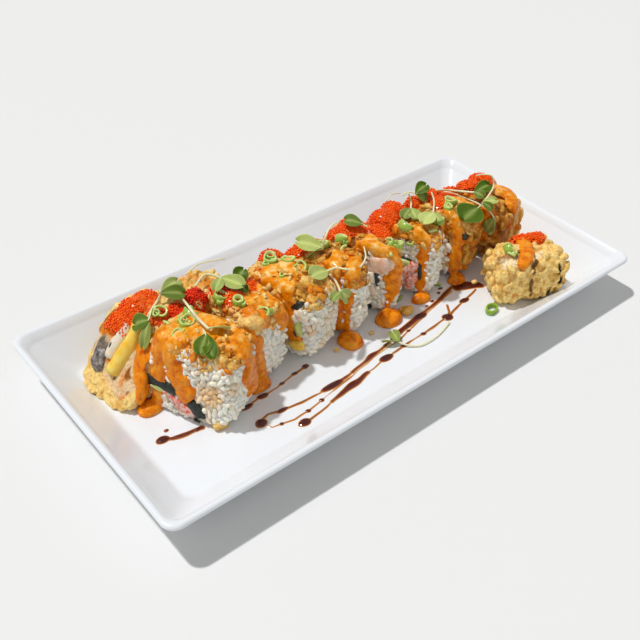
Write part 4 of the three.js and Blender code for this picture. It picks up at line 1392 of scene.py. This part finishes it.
# Fried crumbs over the tops

# The tops that carry fried crumbs: slice, how brown
CRUMBED = (("slice_03", 0.15), ("slice_04", 0.5), ("slice_05", 1.2), ("slice_06", 1.2),
           ("slice_07", 0.6), ("slice_08", 0.6), ("slice_02", 0.4))
# Places where the crumbs are darkest: x, y
DARK_CRUMBS = ((-93, -12), (-85, -17), (-33, -5), (-27, -10), (-4, 12), (12, 12), (17, 4),
               (20, 0), (41, 2), (48, -3), (49, 5), (62, -6), (72, -3), (84, 0), (65, -9))
CRUMB_TRIES = 900
CRUMB_SPACING = 1.9
CRUMB_KINDS = 3
CRUMB_SHAPE = np.array([1.6, 1.1, 0.55])
# How far out of the crust its loose crumbs lie: bare, and at most on sauce
CRUMB_LIFTS = (0.35, 3.2)


def dark_share(points):
    """How much browner the crumbs are near the darkest places."""
    nearest = np.min([np.hypot(points[:, 0] - x, points[:, 1] - y) for x, y in DARK_CRUMBS], axis=0)
    return 1.1 * smooth_step(-nearest, -7, -2)


def crust_height(spec, points):
    """Height of the fried crust, which ends unevenly below the top, and each lump's number."""
    bent = shaken(points, 1.2, 4, 61)
    big, own = bubbles(bent, 4.2, 65)
    small, _ = bubbles(bent, 1.9, 67)
    edge = spec.high / 2 - 8.5 + 3.2 * noise(points, 6, 69)
    top = smooth_step(local(spec, points)[:, 2], edge - 0.8, edge + 0.8)
    return top * (1.4 + 1.5 * big ** 0.7 + 0.6 * small + 0.45 * roe_height(spec, points)) - 2.6, own


def make_crust(name, brown):
    """The fried crust on a slice's top: its points and faces."""
    spec = SLICES[name]
    points, quads = layer(spec, corner_planes(name), cell=0.6, clearance=0,
                          height=lambda p: crust_height(spec, p)[0])
    lift = lift_over(spec, points)
    points, quads, used = kept_faces(points, quads, lift > -2.1)
    _, own = crust_height(spec, points)
    # Lower points of the crust are painted darker: painted shade in its hollows.
    paint = fried(points, smooth_step(lift[used], -1.2, 1.0),
                  brown + 0.5 * own + dark_share(points), stain=0.7, seed=20)
    make(name + "_crust", points, quads, GLAZED_BATTER, "batter",
         paint=under_roe(paint, spec, points))
    return points, quads


def crumb_places(name, points, quads):
    """Where loose crumbs lie on a crust: on the sauce in some places, and else on the crust."""
    spec = SLICES[name]
    spots, outward = surface_points(points, quads, CRUMB_TRIES)
    wanted = ((local(spec, spots)[:, 2] > spec.high / 2 - 9) & (outward[:, 2] > -0.2)
              & (roe_height(spec, spots) < 0.2) & (leaf_gap(spots) > 1))
    spots, outward = spots[wanted], outward[wanted]
    keep = thinned(spots, CRUMB_SPACING)
    cover = np.clip(0.9 + 0.85 * sauce_height(name, spots), *CRUMB_LIFTS)
    cover = np.where(noise(spots, 4, 86) > 0.3, cover, CRUMB_LIFTS[0])
    return (spots + outward * cover[:, None])[keep], outward[keep]


def make_crumbs():
    """The crusts and their loose crumbs; and the points of each crust by slice."""
    tops, parts, paints = {}, [], []
    for name, brown in CRUMBED:
        crust = make_crust(name, brown)
        tops[name] = crust[0]
        spots, outward = crumb_places(name, *crust)
        for kind in range(CRUMB_KINDS):
            mine = np.arange(len(spots)) % CRUMB_KINDS == kind
            count = int(mine.sum())
            sizes = (0.5 + 1.1 * rng.random((count, 1)) ** 2) * CRUMB_SHAPE
            colours = fried(spots[mine], rng.random(count), brown + dark_share(spots[mine]),
                            stain=1.0, seed=30 + kind)
            crumb = lumpy(kind + 2, sides=8, levels=6, depth=0.6)
            points, faces, owner = scattered(crumb, spots[mine], stood(outward[mine]), sizes,
                                             np.arange(count))
            parts.append((points, faces, 0.0))
            paints.append(colours[owner])
    points, faces, _ = joined(parts)
    make("top_crumbs", points, faces, GLAZED_BATTER, "batter", paint=np.vstack(paints))
    return tops


crust_tops = make_crumbs()

# Sauce

PUDDLE_SPREAD = 0.88
PUDDLE_RISE = 0.78
# Sauce that lies deeper than this in the food is left out
SAUCE_SHOWS = -0.75


def puddle(x, y, rx, ry, high):
    """A low dome of sauce with a raised middle."""
    sides, levels = 48, 14
    rx, ry, high = rx * PUDDLE_SPREAD, ry * PUDDLE_SPREAD, high * PUDDLE_RISE
    points = []
    for level in range(levels):
        share = 1 - level / (levels - 1) * 0.98
        rise = 0.85 * (1 - share ** 3) ** 0.5 + 0.15 * math.exp(-(share / 0.6) ** 2)
        for k in range(sides):
            angle = 2 * math.pi * k / sides
            reach = share * (1 + 0.04 * math.sin(2 * angle + x) + 0.02 * math.sin(5 * angle))
            points.append((x + rx * reach * math.cos(angle), y + ry * reach * math.sin(angle),
                           WELL_FLOOR + 0.05 + high * rise))
    return np.array(points), ring_faces(levels, sides), 0.0


def make_sauce(name, spec):
    """A slice's sauce, in waves over the food and kept off the leaves, and its puddle."""
    base = 0.2 if name in BATTERED else 0.5

    def height(points):
        thick = sauce_height(name, points)
        waves = 0.8 * noise(points, 4.5, 83) + 0.45 * noise(points, 2.1, 85)
        return (base + 0.85 * thick + waves * smooth_step(thick, -1.5, 0)
                - 1.1 * smooth_step(-leaf_gap(points), -2, 0.5))

    parts = [(*layer(spec, corner_planes(name), cell=0.7, clearance=0, height=height), 0.0)]
    if name in PUDDLES:
        parts.append(puddle(*PUDDLES[name]))
    points, quads = remeshed(parts, voxel=0.62, rounds=3)
    points, quads, _ = kept_faces(points, quads, lift_over(spec, points) > SAUCE_SHOWS)
    # The tone rises with height: painted light on the sauce's tops, painted shade down its sides
    # and on the puddles.
    make(name + "_sauce", points, quads, SAUCE, "sauce",
         smooth_step(points[:, 2] + 5 * noise(points, 8, 84), 36, 50))


for slice_name, slice_spec in SLICES.items():
    make_sauce(slice_name, slice_spec)

# Roe

BEAD_RADIUS = 0.56
BEAD_SPACING = 0.98
BEAD_TRIES = 30000
RED_INDEXES = [i for i, place in enumerate(ROE_MOUNDS) if place[:2] in RED_MOUNDS]


def is_red(points):
    """Whether the nearest mound of roe is one of the redder ones."""
    gaps = [np.hypot(points[:, 0] - x, points[:, 1] - y) for x, y, _, _ in ROE_MOUNDS]
    return np.isin(np.argmin(gaps, axis=0), RED_INDEXES)


def bed_height(spec, points):
    """Height of the roe under its beads, far inside the food where there is none."""
    high = roe_height(spec, points, ROE_MOUNDS) * (0.82 + 0.3 * noise(points, 4, 90))
    return np.where(high > 0.55 + 0.35 * noise(points, 3, 92), 0.25 + high * 0.95, -2.0)


def roe_on(name, spec, planes, beads):
    """A bed of roe on a slice, and its beads, added to the lists of each colour."""
    points, quads = layer(spec, planes, cell=0.8, clearance=0.2,
                          height=lambda p: bed_height(spec, p))
    bed, bed_quads, _ = kept_faces(points, quads, lift_over(spec, points) > -1.4)
    if not bed_quads:
        return
    surface = RED_ROE if is_red(bed).mean() > 0.5 else ROE
    make(name + "_roe_bed", bed, bed_quads, surface, "roe", np.full(len(bed), 0.5))
    spots, outward = surface_points(points, quads, BEAD_TRIES)
    on_roe = lift_over(spec, spots) > 0.1 + 0.4 * noise(spots, 3.5, 93)
    spots, outward = spots[on_roe], outward[on_roe]
    keep = thinned(spots, BEAD_SPACING)
    spots, outward = spots[keep], outward[keep]
    spots = spots + outward * (0.05 + 0.5 * rng.random(len(spots)) ** 2)[:, None]
    red = is_red(spots)
    for key, which in (("roe", ~red), ("red_roe", red)):
        count = int(which.sum())
        if count:
            sizes = BEAD_RADIUS * (0.88 + 0.24 * rng.random((count, 1))) * np.ones(3)
            beads[key].append(scattered(ball(sides=6, levels=4), spots[which],
                                        stood(outward[which]), sizes, rng.random(count)))


def make_roe():
    """Roe on every slice and on the back chunk, its beads joined by colour."""
    beads = {"roe": [], "red_roe": []}
    for name, spec in SLICES.items():
        roe_on(name, spec, corner_planes(name), beads)
    roe_on("back_chunk", BACK_CHUNK, corner_planes("slice_03"), beads)
    make_joined("roe_beads", beads["roe"], ROE, "roe")
    make_joined("red_roe_beads", beads["red_roe"], RED_ROE, "roe")


make_roe()

# Scallion rings

def ring_piece(at, radius, wall, height, tilt, turn, seed):
    """A short open ring, a little oval, cut across at both ends."""
    sides = 28
    profile = [(1, -0.5), (1, 0.5), (1 - wall / radius * 0.5, 0.56), (1 - wall / radius, 0.5),
               (1 - wall / radius, -0.5), (1 - wall / radius * 0.5, -0.56)]
    points, faces, tones = [], [], []
    for k in range(sides):
        angle = 2 * math.pi * k / sides
        swell = 1 + 0.10 * math.sin(2 * angle + seed) + 0.05 * math.sin(3 * angle + 2 * seed)
        for share, rise in profile:
            reach = radius * (swell - 1 + share)
            points.append((reach * math.cos(angle), 0.86 * reach * math.sin(angle),
                           height * rise + 0.25 * math.sin(2 * angle + seed)))
            tones.append(0.75 if share < 1 else 0.15)
    size = len(profile)
    for k in range(sides):
        for i in range(size):
            a, b = k * size, (k + 1) % sides * size
            faces.append((a + i, b + i, b + (i + 1) % size, a + (i + 1) % size))
    turned = Matrix.Rotation(turn, 3, "Z") @ Matrix.Rotation(tilt, 3, "X")
    return np.array(points) @ np.array(turned).T + np.array(at), faces, np.array(tones)


def sliver(x, y, top, angle, tone):
    """A thin curved bit of scallion."""
    line = [(x + 2.6 * t * math.cos(angle) - 0.5 * t * t * math.sin(angle),
             y + 2.6 * t * math.sin(angle) + 0.5 * t * t * math.cos(angle),
             top + 0.9 - 0.35 * t * t) for t in (-1, 0, 1)]
    return *tube(line, radius=0.85, sides=8, smooth=4), tone


def top_at(name, x, y):
    """Height of the food under a place, from the layers that lie there."""
    best = WELL_FLOOR
    bare = slice_forms[name][0]
    for cloud in (bare, crust_tops.get(name, bare)):
        near = np.hypot(cloud[:, 0] - x, cloud[:, 1] - y) < 1.6
        if near.any():
            best = max(best, cloud[near, 2].max())
    return best


def make_scallions():
    """Pairs of rings, and smaller rings and slivers, their sizes and turns varied in order."""
    parts = []
    for index, (name, x, y) in enumerate(SCALLIONS):
        top = top_at(name, x, y)
        radius = 2.9 + 1.3 * ((index * 7) % 5) / 4
        tilt = 0.3 + 0.5 * math.sin(index * 2.3)
        parts.append(ring_piece((x, y, top + 0.7), radius, 1.0, 2.4 + 0.8 * (index % 3), tilt,
                                index * 1.9, index))
        beside = (x + 2.6 * math.cos(index), y + 2.6 * math.sin(index), top + 0.4)
        parts.append(ring_piece(beside, radius * 0.62, 0.9, 2.6, -tilt, index, index + 3))
    for index, (name, x, y) in enumerate(SCALLION_BITS):
        top = top_at(name, x, y)
        if index % 3 == 0:
            parts.append(ring_piece((x, y, top + 0.8), 2.2 + 0.5 * math.sin(index), 1.0,
                                    2.2 + math.sin(index * 1.3), 0.9 * math.sin(index * 2.1),
                                    index * 1.1, index))
        else:
            parts.append(sliver(x, y, top, index * 2.4, 0.15 + 0.5 * (index % 2)))
    make_joined("scallion_rings", parts, SCALLION, "scallion")


def make_loose_scallion():
    x, y, radius, height = LOOSE_SCALLION
    points, faces, _ = ring_piece((x, y, 7.7), radius - 0.4, wall=0.9, height=height - 0.5,
                                  tilt=0.05, turn=0.4, seed=2)
    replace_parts(make("loose_scallion", points, faces, SCALLION, "scallion"), "scallion_loose")


make_scallions()
make_loose_scallion()

# Sprouts

# How thick a stem is beside the solid's, and how far it runs on between its leaves
STEM_SHARE = 0.82
STEM_TIP = 0.5
# How far a leaf begins before the stem's end, its half thickness, and its grid
LEAF_TUCK = 0.8
LEAF_HALF = 0.22
LEAF_ROWS = 16
LEAF_COLUMNS = 8


def leaf_faces():
    """Quads of a leaf's upper and lower sheet, and of the rim between them."""
    rows, span = LEAF_ROWS, 2 * LEAF_COLUMNS + 1
    sheet = (rows + 1) * span
    faces = []
    for i in range(rows):
        for k in range(span - 1):
            a = i * span + k
            faces.append((a, a + 1, a + span + 1, a + span))
            faces.append((sheet + a, sheet + a + span, sheet + a + span + 1, sheet + a + 1))
    rim = (list(range(span)) + [i * span + span - 1 for i in range(1, rows + 1)]
           + [rows * span + k for k in range(span - 2, -1, -1)]
           + [i * span for i in range(rows - 1, 0, -1)])
    return faces + [(a, sheet + a, sheet + b, b) for a, b in zip(rim, rim[1:] + rim[:1])]


def leaf_piece(base, tip, wide, roll, paleness):
    """A heart-shaped seed leaf: folded a little along its middle, notched at the tip."""
    base, tip = np.array(base, float), np.array(tip, float)
    axis = tip - base
    long = np.linalg.norm(axis) + LEAF_TUCK
    axis = unit(axis)
    base = base - axis * LEAF_TUCK
    up = unit(UP - axis * axis[2])
    angle = math.radians(roll)
    normal = up * math.cos(angle) + np.cross(axis, up) * math.sin(angle)
    side = np.cross(normal, axis)
    points, tones = [], []
    for face in (1, -1):
        for i in range(LEAF_ROWS + 1):
            u = i / LEAF_ROWS
            width = wide / 2 * math.sin(math.pi * min(u, 0.992) ** 1.45) ** 0.5
            width = max(width, 0.25)
            for k in range(-LEAF_COLUMNS, LEAF_COLUMNS + 1):
                v = k / LEAF_COLUMNS
                notch = 0.16 * u ** 4 * (1 - abs(v)) ** 1.3
                rim = 1 - max(abs(v), u) ** 8
                rise = (1.1 * v * v * width / 4 + 0.25 * math.sin(4 * u + 3 * v)
                        + 0.5 * math.sin(math.pi * u) + face * LEAF_HALF * (0.35 + 0.65 * rim))
                points.append(base + axis * long * (u * 0.985 - notch) + side * v * width
                              + normal * rise)
                vein = math.exp(-(v * 5) ** 2) * 0.35
                tones.append(min(1, paleness + vein + 0.25 * (abs(v) > 0.93)))
    return np.array(points), leaf_faces(), np.array(tones)


def make_sprouts():
    """A stem and its leaves for each sprout, and the bare stems."""
    for index, (radius, line, leaves) in enumerate(SPROUTS, 1):
        node = "sprout_%02d" % index
        start = np.array(line[0], float)
        first = start + unit(start - np.array(line[1], float)) * STEM_TIP
        stem, faces = tube([first, *line], radius * STEM_SHARE, sides=10, smooth=5)
        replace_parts(make(node + "_stem", stem, faces, STEM, "leaf"), node)
        blades = [leaf_piece(line[0], *leaf) for leaf in leaves]
        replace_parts(make_joined(node + "_leaves", blades, LEAF, "leaf"), node)
    for index, line in enumerate(BARE_STEMS, 1):
        make("bare_stem_%d" % index, *tube(line, radius=0.4, sides=8, smooth=5), STEM, "leaf")


make_sprouts()

# Syrup on the plate

# The grid's step and ends, the height where there is no syrup, the lowest height that is kept,
# and the height from which it is darkest
SYRUP_CELL = 0.33
SYRUP_X = (-126, 87)
SYRUP_Y = (-49, -7)
SYRUP_NONE = -0.2
SYRUP_EDGE = -0.15
SYRUP_DEEP = 0.75


def syrup_height(flat):
    """Thickness of the syrup at places on the plate, below zero where there is none."""
    height = np.full(len(flat), SYRUP_NONE)
    swell = 1 + 0.4 * noise(np.c_[flat, np.zeros(len(flat))], 7, 73)
    for width, line in STROKES:
        half = width * 0.66 * swell
        ridge = 1 - (run_distance(flat, line) / half) ** 2
        height = np.maximum(height, (0.06 + 0.26 * half) * ridge)
    for x, y, rx, ry in BEADS:
        dome = 1 - ((flat[:, 0] - x) / rx) ** 2 - ((flat[:, 1] - y) / ry) ** 2
        height = np.maximum(height, (0.35 + 0.3 * min(rx, ry)) * dome)
    return height


def make_syrup():
    gx, gy = np.meshgrid(np.arange(*SYRUP_X, SYRUP_CELL), np.arange(*SYRUP_Y, SYRUP_CELL),
                         indexing="ij")
    flat = np.stack([gx.ravel(), gy.ravel()], axis=1)
    height = syrup_height(shaken(np.c_[flat, np.zeros(len(flat))], 0.35, 6, 71)[:, :2])
    points = np.c_[flat, WELL_FLOOR + 0.02 + height]
    index = np.arange(gx.size).reshape(gx.shape)
    quads = np.stack([index[:-1, :-1], index[1:, :-1], index[1:, 1:], index[:-1, 1:]],
                     axis=2).reshape(-1, 4)
    quads = quads[(height[quads] > SYRUP_EDGE).any(axis=1)]
    used, place = np.unique(quads, return_inverse=True)
    make("syrup_strokes", points[used], place.reshape(-1, 4).tolist(), GLAZE, "glaze",
         np.clip(height[used] / SYRUP_DEEP, 0, 1))


make_syrup()

# Crumbs fallen on the plate

# Place x, y, radius, how brown
FALLEN = ((-94, -23.5, 4.0, 0.1), (-94, -20.5, 3.2, 0.2), (32, -16, 3.4, 0.15),
          (31, -13, 2.4, 0.2), (-18, -16, 1.6, 0.5), (5, -17, 1.6, 0.3), (26, -12, 1.7, 0.6),
          (80, -20, 2.0, 0.8))


def make_fallen_crumbs():
    """Crumbs resting on the plate."""
    parts = []
    for index, (x, y, radius, brown) in enumerate(FALLEN):
        points, faces = lumpy(index + 5, sides=12, levels=10, depth=0.25)
        points = points * np.array([radius, radius * 0.75, radius * 0.7])
        parts.append((points + np.array([x, y, WELL_FLOOR + radius * 0.6]), faces, brown))
    points, faces, browns = joined(parts)
    make("fallen_crumbs", points, faces, BATTER, "batter",
         paint=fried(points, browns, brown=0.3, stain=0.1, seed=50))


make_fallen_crumbs()

# Table and light

TABLE_HALF = 3000
TABLE_DROP = -0.5
SUN_WAY = Vector((0.29, -0.29, -1))
SUN_STRENGTH = 2.25
SUN_SIZE = 3
SKY_STRENGTH = 0.42


def make_table():
    surface = Surface("table", Roughness=0.7)
    surface.colour((0.80, 0.80, 0.79, 1))
    corners = [(x * TABLE_HALF, y * TABLE_HALF, TABLE_DROP)
               for x, y in ((-1, -1), (1, -1), (1, 1), (-1, 1))]
    mesh = mesh_of("table", corners, [(0, 1, 2, 3)])
    mesh.materials.append(surface.material)
    floor = shown("table", mesh)


def make_light():
    light = bpy.data.lights.new("sun", "SUN")
    light.energy = SUN_STRENGTH
    light.angle = math.radians(SUN_SIZE)
    shown("sun", light).rotation_euler = SUN_WAY.to_track_quat("-Z", "Y").to_euler()
    world = bpy.data.worlds.new("world")
    world.use_nodes = True
    background = world.node_tree.nodes["Background"]
    background.inputs["Color"].default_value = (1, 1, 1, 1)
    background.inputs["Strength"].default_value = SKY_STRENGTH
    bpy.context.scene.world = world
    bpy.context.scene.view_settings.view_transform = "Standard"


make_table()
make_light()
